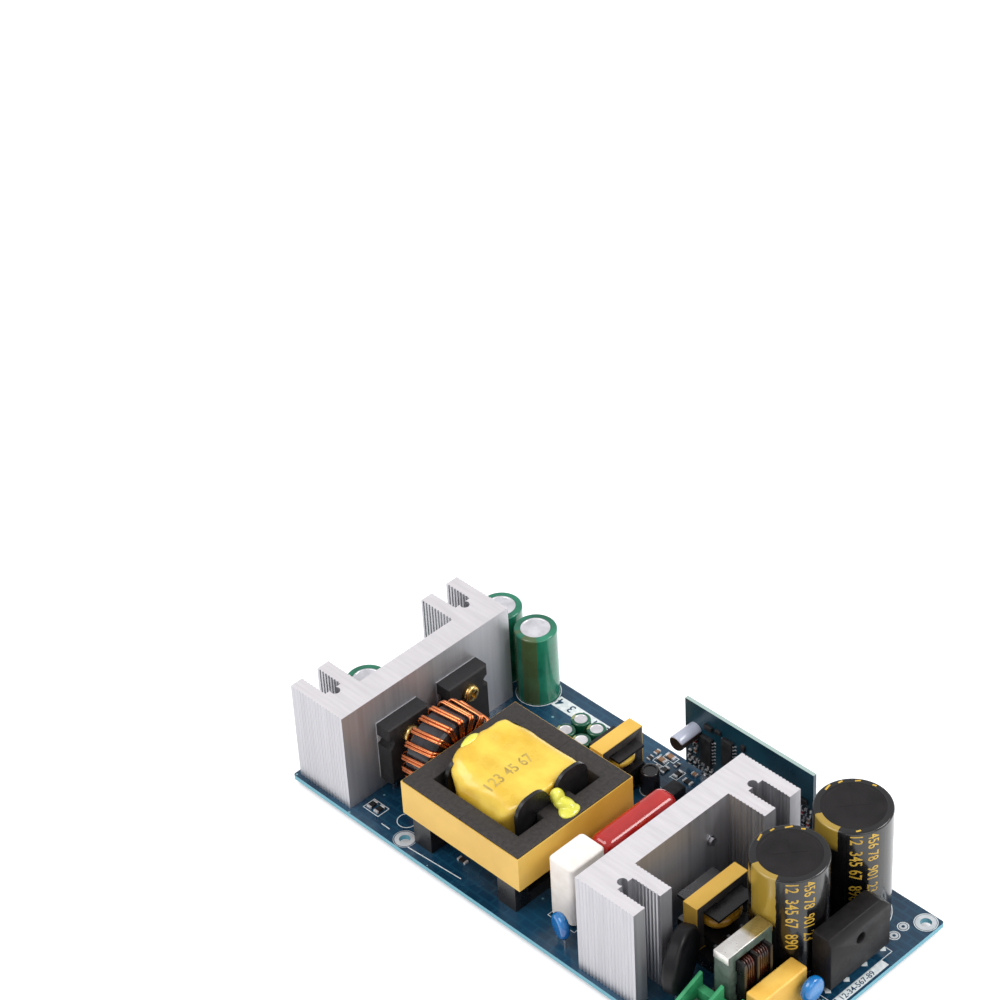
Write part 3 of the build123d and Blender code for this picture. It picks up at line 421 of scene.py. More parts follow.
# %% Dress the solids
slot_finish = {
    "board_laminate": resist, "extruded_aluminium": aluminium, "steel_screw": zinc, "brass_screw": brass,
    "package_black": package_black, "bridge_body": bridge_black, "pad_grey": pad_grey,
    "tinned_lead": tinned, "solder": bright_solder, "ferrite": ferrite, "powder_core": powder_core,
    "copper_wire": copper, "core_tape": yellow_tape, "taped_winding": winding_tape,
    "bobbin_black": bobbin_black, "spring_clip": strip_metal, "grey_sleeve": grey_sleeve,
    "control_laminate": control_resist, "chip_black": chip_black, "red_coating": red_coat,
    "white_ceramic": ceramic_white, "blue_coating": blue_coat, "black_coating": dark_coat,
    "yellow_case": yellow_case, "fuse_case": fuse_shell, "terminal_green": terminal_green,
    "terminal_metal": zinc,
}
slot_of = {part["node"]: part["material_slot"] for part in frame["record"]["subparts"]}
for node, solid in frame["nodes"].items():
    solid.data.materials.clear()
    solid.data.materials.append(sleeves.get(node) or slot_finish[slot_of[node]])
frame["nodes"]["line_choke_core"].data.materials[0] = greenish_ferrite
print("dressed:", len(frame["nodes"]))


# %% [markdown]
# ## How a new piece is made and kept
# Each new piece starts as a primitive at its real size and place, is shaped in edit mode and with
# applied modifiers, and then rides on the one body. `pick` selects the vertices, edges or faces that a
# test wants and stays in edit mode for the next step. `keep` gives a piece its finish and hides the
# solids that it stands for, if any.

# %% Modelling helpers
def settle():
    bpy.ops.object.transform_apply(location=True, rotation=True, scale=True)


def only(piece):
    bpy.ops.object.select_all(action="DESELECT")
    piece.select_set(True)
    bpy.context.view_layer.objects.active = piece


def edit(choice=None):
    bpy.ops.object.mode_set(mode="EDIT")
    if choice:
        bpy.ops.mesh.select_all(action=choice)


def edited():
    bpy.ops.object.mode_set(mode="OBJECT")


def fresh(name, size=(1 / MM, 1 / MM, 1 / MM)):
    piece = bpy.context.active_object
    piece.scale = [side * MM for side in size]
    settle()
    piece.name = name
    return piece


def new_box(name, centre, size):
    bpy.ops.mesh.primitive_cube_add(size=1, location=centre)
    return fresh(name, size)


def new_rod(name, centre, radius, height, around=24):
    bpy.ops.mesh.primitive_cylinder_add(vertices=around, radius=radius * MM, depth=height * MM, location=centre)
    return fresh(name)


def stand(name, data):
    holder = bpy.data.objects.new(name, data)
    bpy.context.scene.collection.objects.link(holder)
    return holder


def shape(piece, kind, **settings):
    modifier = piece.modifiers.new(kind, kind)
    for key, value in settings.items():
        setattr(modifier, key, value)
    bpy.context.view_layer.objects.active = piece
    bpy.ops.object.modifier_apply(modifier=modifier.name)


def join(name, pieces):
    only(pieces[0])
    for piece in pieces:
        piece.select_set(True)
    bpy.ops.object.join()
    pieces[0].name = name
    return pieces[0]


def pick(piece, elements, wanted):
    edit("DESELECT")
    edited()
    for element in getattr(piece.data, elements):
        element.select = wanted(element)
    edit()


def pick_edges(piece, wanted):
    pick(piece, "edges", lambda edge: wanted(*(piece.data.vertices[i].co for i in edge.vertices)))


def bevel_where(piece, wanted, width, segments):
    pick_edges(piece, wanted)
    bpy.ops.mesh.bevel(offset=width * MM, segments=segments, affect="EDGES")
    edited()


def copy_to(piece, name, placed):
    only(piece)
    bpy.ops.object.duplicate(linked=False)
    twin = bpy.context.active_object
    twin.matrix_world = placed
    settle()
    twin.name = name
    return twin


def discard(*pieces):
    for piece in pieces:
        bpy.data.objects.remove(piece)


def smooth(piece, degrees):
    only(piece)
    bpy.ops.object.shade_smooth_by_angle(angle=math.radians(degrees))


def keep(piece, look, slot_name, *stands_for):
    piece.data.name = piece.name
    piece.data.materials.clear()
    piece.data.materials.append(look)
    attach(piece, "root")
    if stands_for:
        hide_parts(*stands_for)
    print(f"{piece.name}: {len(piece.data.polygons)} faces")


print("modelling helpers ready")


# %% [markdown]
# ## Round wire on the output choke
# The choke is wound with two wires side by side, so each turn is a pair. One turn is a rounded
# rectangle round the ring's section: a plane with bevelled corners, kept as an edge loop and turned
# into round wire. It is modelled once and copied round the ring, leaning a little as a helix does.
# Two rods are the ends that go down to the board.

# %% Output choke wire
def wire_loop(name, width, height, corner, thickness):
    bpy.ops.mesh.primitive_plane_add(size=1, location=(0, 0, 0))
    loop = fresh(name, (width, height, 1))
    edit("SELECT")
    bpy.ops.mesh.bevel(offset=corner * MM, segments=4, affect="VERTICES")
    bpy.ops.mesh.select_all(action="SELECT")
    bpy.ops.mesh.delete(type="ONLY_FACE")
    edited()
    bpy.ops.object.convert(target="CURVE")
    loop.data.bevel_depth = thickness / 2 * MM
    loop.data.bevel_resolution = 3
    bpy.ops.object.convert(target="MESH")
    return loop


CHOKE_X, CHOKE_Y = 37.6, 28.0
CORE_OUTER, CORE_INNER, CORE_WIDTH = 12.8, 7.2, 9.8
WIRE, WIRE_GAP, STRAND_STEP, TILT = 0.9, 0.2, 1.0, 8.0
TURN_OUTER = CORE_OUTER + WIRE_GAP + WIRE / 2
TURN_INNER = CORE_INNER - WIRE_GAP - WIRE / 2
TURN_SIDE = (CORE_WIDTH / 2 + WIRE_GAP + WIRE / 2) / math.cos(math.radians(TILT))
CHOKE_HEIGHT = TURN_OUTER + WIRE / 2 + 0.3
PAIRS, OPEN_ANGLE = 17, 62.0
ENAMEL_SWELL = 1.08
turn = wire_loop("choke_turn", TURN_OUTER - TURN_INNER, 2 * TURN_SIDE, 1.1, WIRE * ENAMEL_SWELL)
round_core = moved(z=(TURN_OUTER + TURN_INNER) / 2) @ turned("X", 90) @ turned("Z", 90)
strands = []
for pair in range(PAIRS):
    angle = 180 + OPEN_ANGLE / 2 + pair * (360 - OPEN_ANGLE) / (PAIRS - 1)
    on_ring = at(CHOKE_X, CHOKE_Y, CHOKE_HEIGHT) @ turned("X", angle)
    for side in (-0.5, 0.5):
        placed = on_ring @ moved(y=side * STRAND_STEP) @ turned("Z", TILT) @ round_core
        strands.append(copy_to(turn, "strand", placed))
for end in (-1, 1):
    angle = math.radians(OPEN_ANGLE / 2)
    reach = CHOKE_HEIGHT - TURN_OUTER * math.cos(angle)
    foot = on_board(CHOKE_X, CHOKE_Y + end * TURN_OUTER * math.sin(angle), reach / 2)
    lead = new_rod("choke_lead", foot, WIRE / 2, reach)
    bevel_where(lead, lambda a, b: abs(a.z - b.z) < 1e-6, 0.12, 2)
    strands.append(lead)
discard(turn)
choke_wire = join("output_choke_wire", strands)
smooth(choke_wire, 60)
keep(choke_wire, copper, "copper_wire", "output_choke_winding")


# %% [markdown]
# ## Wire on the line choke
# The line choke has two short coils of thinner, darker wire on its level middle bar. The same kind of
# loop serves, standing across the bar, five turns to a coil.

# %% Line choke wire
LINE_X, LINE_Y, LINE_MID = 156.3, 22.8, 15.0
COIL_WIDTH, COIL_HEIGHT, COIL_CORNER, LINE_WIRE = 9.6, 11.0, 1.8, 0.86
COIL_OFFSET, COIL_TURNS, TURN_STEP = 2.85, 5, 0.88
line_turn = wire_loop("line_turn", COIL_WIDTH - LINE_WIRE, COIL_HEIGHT - LINE_WIRE, COIL_CORNER, LINE_WIRE)
turns = []
for coil in (-1, 1):
    for number in range(COIL_TURNS):
        y = LINE_Y + coil * COIL_OFFSET + (number - 2) * TURN_STEP
        placed = at(LINE_X, y, LINE_MID) @ turned("Z", 2) @ turned("X", 90)
        turns.append(copy_to(line_turn, "line_strand", placed))
discard(line_turn)
line_wire = join("line_choke_wire", turns)
smooth(line_wire, 60)
keep(line_wire, dark_copper, "copper_wire", "line_choke_windings")


# %% [markdown]
# ## The taped winding of the main transformer
# Several layers of polyester tape cover the winding. They bridge the corners, bulge over the core and
# crease where they were pulled round. A box with deep rounded corners is remeshed finely and its left
# end is pulled out over the bobbin. A cell pattern then presses facets with sharp folds between them
# where the tape is loose, at the left and in front, and leaves the tight top nearly flat.

# %% Main winding
CORE_X, CORE_Y = 67.5, 26.5


def pattern(kind, name, size):
    made = bpy.data.textures.new(name, kind)
    made.noise_scale = size
    return made


winding = new_box("main_winding", on_board(CORE_X, CORE_Y, 16.5), (26.0, 30.2, 22.6))
bevel_where(winding, lambda a, b: abs(a.x - b.x) > 0.02 and a.y < on_board(0, CORE_Y).y, 7.2, 6)
bevel_where(winding, lambda a, b: abs(a.x - b.x) > 0.02 and a.y > on_board(0, 41.0).y, 5.0, 5)
bevel_where(winding, lambda a, b: abs(a.x - b.x) < 1e-5, 0.8, 2)
shape(winding, "REMESH", mode="VOXEL", voxel_size=0.5 * MM)
lip_low, lip_high = on_board(50.0, 14.4, 25.0), on_board(56.0, 37.4, 30.0)
pick(winding, "vertices", lambda vertex: all(lip_low[i] < vertex.co[i] < lip_high[i] for i in range(3)))
bpy.ops.transform.translate(
    value=(-2.5 * MM, 0, 1.2 * MM), use_proportional_edit=True, proportional_edit_falloff="SMOOTH",
    proportional_size=3.5 * MM,
)
edited()

loose = winding.vertex_groups.new(name="loose")
for vertex in winding.data.vertices:
    from_left = (on_board(63.0, 0).x - vertex.co.x) / (9.0 * MM)
    down_front = (on_board(0, 17.0).y - vertex.co.y) / (8.0 * MM)
    loose.add([vertex.index], min(1.0, max(0.12, from_left, down_front * 0.8)), "REPLACE")
slack, creases = pattern("CLOUDS", "slack", 12.0 * MM), pattern("VORONOI", "creases", 7.0 * MM)
shape(winding, "DISPLACE", texture=slack, strength=0.7 * MM, mid_level=0.55)
shape(winding, "DISPLACE", texture=creases, strength=1.8 * MM, mid_level=0.35, vertex_group="loose")
shape(winding, "SMOOTH", factor=0.5, iterations=2)
smooth(winding, 80)
keep(winding, winding_tape, "taped_winding", "transformer_winding")


# %% [markdown]
# ## Wound tape on the small transformers
# Their coils are round-sided and wrapped in the same tape, so they are made in the same way from a
# rounded box at the size of the solid.

# %% Small windings
for node, tape in (("auxiliary_transformer_winding", winding_tape), ("drive_transformer_winding", amber_tape)):
    low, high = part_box(node)
    size = [(high[i] - low[i]) / MM for i in range(3)]
    coil = new_box(node + "_tape", (low + high) / 2, size)
    bevel_where(coil, lambda a, b: abs(a.z - b.z) > 0.001, min(size[0], size[1]) * 0.4, 6)
    shape(coil, "REMESH", mode="VOXEL", voxel_size=0.3 * MM)
    shape(coil, "DISPLACE", texture=pattern("CLOUDS", "wrap", 2.6 * MM), strength=0.35 * MM, mid_level=0.65)
    smooth(coil, 70)
    keep(coil, tape, "taped_winding", node)


# %% [markdown]
# ## Glue on the transformer
# Pale glue holds the winding to its bobbin and the bobbin to the core. A small sphere, flattened and
# pushed about by a cloud, has the soft uneven rim of a cured drop. A fine remesh makes one skin of the
# drops that touch, and smoothing lets them flow together.

# %% Glue drops
glue = finish("cured_glue", (208, 204, 62), (236, 231, 100), 200, (0.16, 0.3), relief=0.05, coat=0.4)


def drop(name, centre, size, spot):
    bpy.ops.mesh.primitive_ico_sphere_add(subdivisions=5, radius=1, location=(spot, 0, 0))
    piece = fresh(name)
    uneven = pattern("CLOUDS", name, 1.5)
    uneven.noise_depth = 0
    shape(piece, "DISPLACE", texture=uneven, strength=0.5, mid_level=0.5)
    shape(piece, "SMOOTH", factor=0.6, iterations=6)
    piece.data.transform(Matrix.Translation((-spot, 0, 0)))
    piece.location = centre
    return fresh(name, size)


glue_piece = join("glue_drops", [
    drop("drop_a", on_board(87.9, 26.6, 23.2), (2.7, 3.4, 1.0), 3.0),
    drop("drop_b", on_board(85.2, 27.4, 23.8), (3.0, 2.6, 1.6), 5.0),
    drop("drop_c", on_board(83.0, 27.0, 25.4), (1.9, 2.3, 2.4), 6.0),
    drop("drop_d", on_board(51.6, 24.6, 28.4), (1.7, 3.8, 1.3), 7.0),
])
shape(glue_piece, "REMESH", mode="VOXEL", voxel_size=0.22 * MM)
shape(glue_piece, "SMOOTH", factor=0.7, iterations=10)
smooth(glue_piece, 180)
keep(glue_piece, glue, "core_tape")


# %% [markdown]
# ## Screw heads
# A pan head is a short cylinder with a rounded crown and a cross recess. One head is modelled: the top
# edge is bevelled in edit mode and the recess is cut by two crossed bars. The shank is a cylinder cut
# into rings, and every second ring is drawn in for the thread; its tip shows in the heatsink's channel.
# The same head, in steel, holds the clamps of the terminals.

# %% Screws
def pan_head(name, radius, height):
    head = new_rod(name, (0, 0, height / 2 * MM), radius, height, 32)
    bevel_where(head, lambda a, b: min(a.z, b.z) > height * 0.99 * MM, height * 0.55, 5)
    for along, across in ((1.15, 0.26), (0.26, 1.15)):
        bar = new_box("recess", (0, 0, height * 1.05 * MM), (radius * along, radius * across, height))
        shape(head, "BOOLEAN", object=bar, operation="DIFFERENCE", solver="EXACT")
        discard(bar)
    smooth(head, 35)
    return head


def threaded_rod(name, radius, length, pitch):
    rod = new_rod(name, (0, 0, -length / 2 * MM), radius, length, 20)
    cuts = int(length / pitch * 2)

    def in_thread(vertex):
        ring = round(-vertex.co.z / (length * MM) * (cuts + 1))
        return ring % 2 == 1 or ring == cuts + 1

    pick_edges(rod, lambda a, b: abs(a.z - b.z) > length * 0.9 * MM)
    bpy.ops.mesh.subdivide_edgering(number_cuts=cuts, interpolation="LINEAR", smoothness=0)
    pick(rod, "vertices", in_thread)
    bpy.ops.transform.resize(value=(0.82, 0.82, 1.0), center_override=(0, 0, 0))
    edited()
    return rod


HEAD_TURN = 25
package_head = join("package_screw", [pan_head("package_head", 2.8, 2.0), threaded_rod("shank", 1.45, 13.8, 0.5)])
heads = []
for x, y, height, looking in (
    (28.4, 45.5, 19.2, 90), (28.4, 21.7, 19.2, 90), (110.9, 45.8, 21.8, -90), (110.9, 22.0, 21.8, -90),
):
    placed = at(x, y, height) @ turned("Y", looking) @ turned("Z", HEAD_TURN)
    heads.append(copy_to(package_head, "head", placed))
discard(package_head)
keep(join("package_screw_heads", heads), brass, "brass_screw", "package_screws")

POLE_PITCH = 7.62
clamp_head = pan_head("clamp_head", 2.9, 2.2)
clamp_plate = new_box("clamp_plate", (0, 0, 0), (6.0, 9.6, 0.8))
shape(clamp_plate, "BEVEL", width=0.2 * MM, segments=2)
clamps = []
for x, y, quarter in ((157.4, 7.2, 0.0), (7.2, 42.4, -90.0)):
    for pole in (-0.5, 0.5):
        base = at(x, y) @ turned("Z", quarter)
        at_head = base @ moved(pole * POLE_PITCH, -1.3, 6.8) @ Matrix.Rotation(0.5 + pole, 4, "Z")
        clamps.append(copy_to(clamp_head, "clamp", at_head))
        clamps.append(copy_to(clamp_plate, "plate", base @ moved(pole * POLE_PITCH, -1.4, 6.4)))
discard(clamp_head, clamp_plate)
keep(join("terminal_clamps", clamps), zinc, "terminal_metal", "terminal_screws")


# %% [markdown]
# ## Edges that catch the light
# Pressed ferrite, moulded epoxy and moulded plastic have small chamfers or radii at their edges, and
# each shows as a fine light line. The solids have sharp edges, so each such solid is copied: its loose
# triangles are merged, flat areas are made one face again, and a narrow bevel goes round.

# %% Softened solids
def softened(node, width):
    soft = stand(node + "_soft", frame["nodes"][node].data.copy())
    only(soft)
    edit("SELECT")
    bpy.ops.mesh.remove_doubles(threshold=0.00001)
    bpy.ops.mesh.dissolve_limited(angle_limit=math.radians(1))
    edited()
    shape(
        soft, "BEVEL", width=width * MM, segments=2, limit_method="ANGLE", angle_limit=math.radians(32),
        use_clamp_overlap=False,
    )
    smooth(soft, 35)
    keep(soft, soft.data.materials[0], slot_of[node], node)


for node, width in (
    ("transformer_core_left", 0.3), ("transformer_core_right", 0.3), ("auxiliary_transformer_core", 0.2),
    ("drive_transformer_core", 0.2), ("line_choke_core", 0.25), ("bridge_rectifier", 0.3),
    ("optocoupler_near", 0.15), ("optocoupler_far", 0.15), ("input_terminal", 0.15),
    ("output_terminal", 0.15), ("control_board_chips", 0.12), ("line_choke_clip", 0.2),
):
    softened(node, width)


# %% [markdown]
# ## Tops of the cans
# Inside the folded sleeve the bare end of the can shows, a shallow pan with pressed vent lines that
# cross in the middle. A thin disc is inset and pushed down for the pan, and the lines are cut in.

# %% Can tops
CAN_TOP = 39.5
can_metal = finish("can_end", (206, 204, 208), (236, 234, 238), 300, (0.3, 0.46), metallic=0.6)
dark_end = finish("dark_can_end", (24, 22, 23), (34, 31, 32), 160, (0.42, 0.56), relief=0.05, specular=DULL)


def can_top(place, radius, height, vents):
    top = new_rod("top", on_board(*place, height - 0.16), radius, 0.26, 64)
    pick(top, "polygons", lambda face: face.normal.z > 0.9)
    bpy.ops.mesh.inset(thickness=radius * 0.08 * MM, depth=0)
    bpy.ops.mesh.inset(thickness=0.1 * MM, depth=-0.08 * MM)
    edited()
    for angle in vents:
        line = new_box("vent", (0, 0, 0), (radius * 1.1, radius * 0.045, 0.2))
        line.matrix_world = at(*place, height - 0.05) @ turned("Z", angle)
        bpy.context.view_layer.update()
        shape(top, "BOOLEAN", object=line, operation="DIFFERENCE", solver="EXACT")
        discard(line)
    smooth(top, 30)
    return top


bright_tops = [can_top(place, 4.45, 25.0, (20, 110)) for place in OUTPUT.values()]
bright_tops += [can_top(place, 1.95, 11.0, (45,)) for place in SMALL.values()]
keep(join("bright_can_ends", bright_tops), can_metal, "green_sleeve")
dark_tops = [can_top(place, 8.95, CAN_TOP, (50, 140)) for place in BULK.values()]
keep(join("dark_can_ends", dark_tops), dark_end, "black_sleeve")


# %% [markdown]
# ## Print round the big cans
# Gold figures run down the dark side of each big can. Flat figures are made a mesh, cut finer so that
# they can bend, stood beside the can and then wrapped onto it by a shrinkwrap modifier. Short marks lie
# on the rim where the print runs over it.

# %% Wrapped figures
HUGGING = 0.04 * MM
RIM_RADIUS, RIM_TURN = 9.85, 0.25
RIM_MARKS = {
    "near": ((186, 2.6), (160, 1.4), (133, 2.2), (110, 1.2)),
    "far": ((176, 2.4), (152, 1.4), (124, 1.6), (96, 1.2), (318, 1.4)),
}
gold_print = finish("gold_print", (178, 140, 44), (208, 170, 62), 500, (0.3, 0.45))


def figures(name, words, size, squeeze=1.0):
    bpy.ops.object.text_add(location=(0, 0, 0))
    piece = bpy.context.active_object
    piece.data.body = words
    piece.data.size = size * MM
    piece.data.resolution_u = 3
    piece.data.offset = 0.012 * size * MM
    piece.scale = (squeeze, 1, 1)
    bpy.ops.object.convert(target="MESH")
    settle()
    piece = bpy.context.active_object
    piece.name = name
    edit("SELECT")
    bpy.ops.mesh.quads_convert_to_tris()
    bpy.ops.mesh.subdivide(number_cuts=2)
    edited()
    return piece


def wrap_on_can(piece, can, place, radius, start, azimuth):
    outward = Vector((math.cos(math.radians(azimuth)), math.sin(math.radians(azimuth)), 0))
    sideways = Vector((0, 0, 1)).cross(outward)
    facing = Matrix(((0, 0, -1), sideways, outward)).transposed().to_4x4()
    spot = on_board(*place, start) + outward * (radius + 0.8) * MM
    piece.matrix_world = Matrix.Translation(spot) @ facing
    only(piece)
    settle()
    shape(
        piece, "SHRINKWRAP", target=frame["nodes"][can], wrap_method="NEAREST_SURFACEPOINT",
        wrap_mode="ABOVE_SURFACE", offset=HUGGING,
    )


printed = []
for which, place in BULK.items():
    for words, size, azimuth, start in (("12  345 67  890", 5.4, 306, 39.2), ("456 78  901 23", 5.0, 332, 38.6)):
        line = figures("print", words, size, 0.72)
        wrap_on_can(line, f"bulk_capacitor_{which}", place, 11.0, start, azimuth)
        printed.append(line)
for which, (x, y) in BULK.items():
    for azimuth, length in RIM_MARKS[which]:
        angle = math.radians(azimuth)
        mark = new_box("rim_mark", (0, 0, 0), (0.55, length, 0.04))
        shape(mark, "BEVEL", width=0.015 * MM, segments=1)
        on_rim = at(x + RIM_RADIUS * math.cos(angle), y + RIM_RADIUS * math.sin(angle), CAN_TOP + 0.02)
        printed.append(copy_to(mark, "rim_mark", on_rim @ Matrix.Rotation(angle + RIM_TURN, 4, "Z")))
        discard(mark)
keep(join("can_figures", printed), gold_print, "black_sleeve")

# %% Figures stamped on the tape
faded_ink = finish("faded_ink", (150, 126, 62), (196, 168, 84), 500, (0.4, 0.6))
stamp = figures("winding_figures", "123 45 67", 5.2, 0.85)
stamp.matrix_world = at(69.6, 14.2, 34.0) @ turned("Z", 90)
settle()
shape(
    stamp, "SHRINKWRAP", target=winding, wrap_method="PROJECT", wrap_mode="ABOVE_SURFACE",
    use_project_z=True, use_negative_direction=True, use_positive_direction=False, offset=HUGGING,
)
keep(stamp, faded_ink, "taped_winding")


# %% [markdown]
# ## White print on the board
# Component outlines and rings are printed in white. Each is a flat plane or disc whose middle is inset
# and deleted, so that a line of even width is left, and all are joined and given the thickness of ink.
# White bars stay whole, and the figures on them are laid over the ink in the colour of the board.

# %% Board print
INK, INK_THICK, LINE, RING_LINE = 0.015, 0.02, 0.22, 0.24
ink = finish("white_ink", (206, 214, 216), (236, 240, 240), 900, (0.5, 0.65))


def hollow_out(piece, line):
    edit("SELECT")
    bpy.ops.mesh.inset(thickness=line * MM, depth=0)
    bpy.ops.mesh.delete(type="FACE")
    edited()


def lay_down(name, pieces, thickness, look, slot_name):
    layer = join(name, pieces)
    shape(layer, "SOLIDIFY", thickness=thickness * MM, offset=1.0)
    keep(layer, look, slot_name)


def ink_patch(x, y, width, depth, turn=0.0, line=None):
    angles = (0, 0, math.radians(turn))
    bpy.ops.mesh.primitive_plane_add(size=1, location=on_board(x, y, INK), rotation=angles)
    patch = fresh("patch", (width, depth, 1))
    if line:
        hollow_out(patch, line)
    return patch


def ink_ring(x, y, radius, line, height=INK):
    place = on_board(x, y, height)
    bpy.ops.mesh.primitive_circle_add(vertices=48, radius=radius * MM, fill_type="NGON", location=place)
    ring = fresh("ring")
    hollow_out(ring, line)
    return ring


outlines = (
    (28.4, 6.8, 6.4, 4.6), (100.2, 17.2, 10.4, 14.6), (156.3, 22.8, 13.0, 18.8), (165.3, 26.1, 7.0, 19.2),
    (169.7, 51.1, 8.0, 25.6), (83.0, 75.7, 2.6, 4.2), (46.2, 70.6, 2.6, 4.2), (102.6, 73.6, 4.2, 2.6),
    (76.6, 79.6, 4.4, 2.6), (75.4, 76.5, 4.4, 2.6),
)
rings = [
    (x, y, radius) for cans, radius in ((OUTPUT, 6.95), (SMALL, 3.3), (BULK, 11.4)) for x, y in cans.values()
]
rings += [
    (38.9, 9.2, 3.0), (173.4, 78.4, 3.4), (3.6, 78.4, 3.4), (173.4, 3.6, 3.4), (169.8, 73.0, 1.7),
    (170.2, 68.7, 1.7), (*AUXILIARY, 3.2),
]
bars = (
    (174.9, 49.7, 2.6, 19.4, 0.0), (44.9, 75.0, 22.0, 4.6, 0.0), (36.0, 3.4, 3.4, 0.3, 0.0),
    (57.1, 2.6, 20.4, 0.3, 4.0), (171.2, 62.8, 1.6, 1.6, 45.0), (171.2, 55.1, 1.6, 1.6, 45.0),
    (171.4, 47.5, 1.6, 1.6, 45.0), (170.5, 40.9, 1.6, 1.6, 45.0),
)
white = [ink_patch(*outline, line=LINE) for outline in outlines]
white += [ink_ring(*ring, RING_LINE) for ring in rings]
white += [ink_patch(*bar) for bar in bars]
lay_down("board_print", white, INK_THICK, ink, "board_laminate")

OVER_INK = 0.045
blue_figures = []
for words, size, x, y, turn in (("0  1  2  3  4", 4.4, 55.2, 76.6, 180), ("12-34-567-89", 2.5, 175.75, 40.9, 90)):
    letters = figures("board_figures", words, size)
    letters.matrix_world = at(x, y, OVER_INK) @ turned("Z", turn)
    settle()
    blue_figures.append(letters)
lay_down("board_figures", blue_figures, INK_THICK, resist, "board_laminate")


# %% [markdown]
# ## Plated pads
# Round pads lie where leads go through, and each fixing hole has a plated ring with a thin one round it.
# They are made like the print, a little thicker, and have the tone of plated copper.

# %% Pads
plated_ring = finish("plated_ring", (196, 202, 206), (220, 225, 228), 300, (0.3, 0.4), metallic=0.35, relief=0.02)
pads = []
for place in ((43.9, 3.6), (3.6, 78.4), (173.4, 3.6), (173.4, 78.4)):
    pads += [ink_ring(*place, 3.0, 1.35, 0.02), ink_ring(*place, 3.45, 0.16, 0.02)]
for place in (
    (169.8, 73.0), (170.2, 68.7), (169.7, 41.5), (169.7, 47.9), (169.7, 54.3), (169.7, 60.7), (171.4, 30.9),
    (171.4, 35.9),
):
    pads.append(ink_ring(*place, 1.2, 0.7, 0.03))
lay_down("plated_pads", pads, 0.04, plated_ring, "solder")


# %% [markdown]
# ## Surface chips and the legs of small packages
# A surface chip is a small block between two tinned ends that wrap round it, and a small package has
# rows of bent legs. One block and one end are modelled at a unit size and one leg at its real size, and
# all are copied to every place. The control board is crowded with chips, so most stand in a loose grid
# with seeded steps. On the main board some ends sit on blocks that are solids already.

# %% Unit chip and leg
chip_block = new_box("chip_block", (0, 0, 0), (0.62, 0.94, 0.9))
chip_end = new_box("chip_end", (0, 0, 0), (0.22, 1.0, 1.0))
for unit, width in ((chip_block, 0.05), (chip_end, 0.07)):
    unit.data.transform(Matrix.Scale(1 / MM, 4))
    shape(unit, "BEVEL", width=width, segments=2)
leg = new_box("leg", (0, 0, 0), (0.5, 0.42, 0.16))
pick(leg, "polygons", lambda face: face.normal.x > 0.9)
for step in ((0.22 * MM, 0, -0.6 * MM), (0.42 * MM, 0, -0.05 * MM)):
    bpy.ops.mesh.extrude_region_move(TRANSFORM_OT_translate={"value": step})
edited()
shape(leg, "BEVEL", width=0.03 * MM, segments=1)
print("unit pieces:", *(len(unit.data.polygons) for unit in (chip_block, chip_end, leg)), "faces")

# %% Chips on both boards
CONTROL_X, CONTROL_FACE, CONTROL_FOOT = 82.0, 80.3, 1.6
FACING_FRONT = turned("X", 90)
LONG, MIDDLE, SHORT = (3.2, 1.6, 0.7), (2.0, 1.3, 0.6), (2.0, 1.2, 0.5)
blocks = {"dark": [], "tan": [], "grey": [], "red": []}
ends = []


def add_chip(place, turn, size, kind=None):
    length, _, height = size
    lifted = place @ turned("Z", turn) @ moved(z=height / 2)
    scale = Matrix.Diagonal((*(side * MM for side in size), 1))
    if kind:
        blocks[kind].append(copy_to(chip_block, "block", lifted @ scale))
    for side in (-1, 1):
        ends.append(copy_to(chip_end, "end", lifted @ moved(side * length * 0.4) @ scale))


for x, y, width, depth in (
    (26.9, 6.8, 1.6, 3.2), (29.8, 6.8, 1.6, 3.2), (83.0, 75.7, 1.6, 3.0), (87.4, 75.2, 3.0, 1.6),
    (102.6, 73.6, 3.0, 1.6), (46.2, 70.6, 1.6, 3.0),
):
    size = (max(width, depth) + 0.06, min(width, depth) + 0.08, 0.78)
    add_chip(at(x, y), 90 if depth > width else 0, size)
for x, y, turn, size, kind in (
    (75.4, 76.9, 0, (3.2, 1.7, 0.8), "tan"), (76.4, 79.7, 0, (3.2, 1.7, 0.8), "tan"),
    (79.0, 74.4, 90, (3.0, 1.6, 0.7), "dark"), (76.6, 74.2, 0, SHORT, "grey"), (72.2, 75.4, 90, MIDDLE, "dark"),
    (72.0, 78.6, 90, MIDDLE, "tan"), (80.2, 78.4, 90, SHORT, "dark"), (86.6, 79.0, 0, (2.0, 1.2, 0.6), "tan"),
    (92.0, 75.6, 0, MIDDLE, "dark"), (64.2, 75.0, 90, MIDDLE, "dark"), (109.0, 72.0, 0, LONG, "dark"),
    (62.6, 8.6, 0, LONG, "dark"),
):
    add_chip(at(x, y), turn, size, kind)
steps = random.Random(4)
taken = [
    (91.0, 12.0, 3.4, 5.6), (99.0, 15.6, 3.4, 5.6), (106.4, 15.6, 3.2, 3.4), (95.0, 21.2, 1.6, 1.2),
    (91.4, 20.8, 2.0, 1.4), (104.6, 21.0, 1.2, 1.6), (113.0, 12.6, 2.0, 1.4), (127.4, 15.2, 2.0, 1.4),
    (85.3, 17.6, 2.6, 2.6),
]
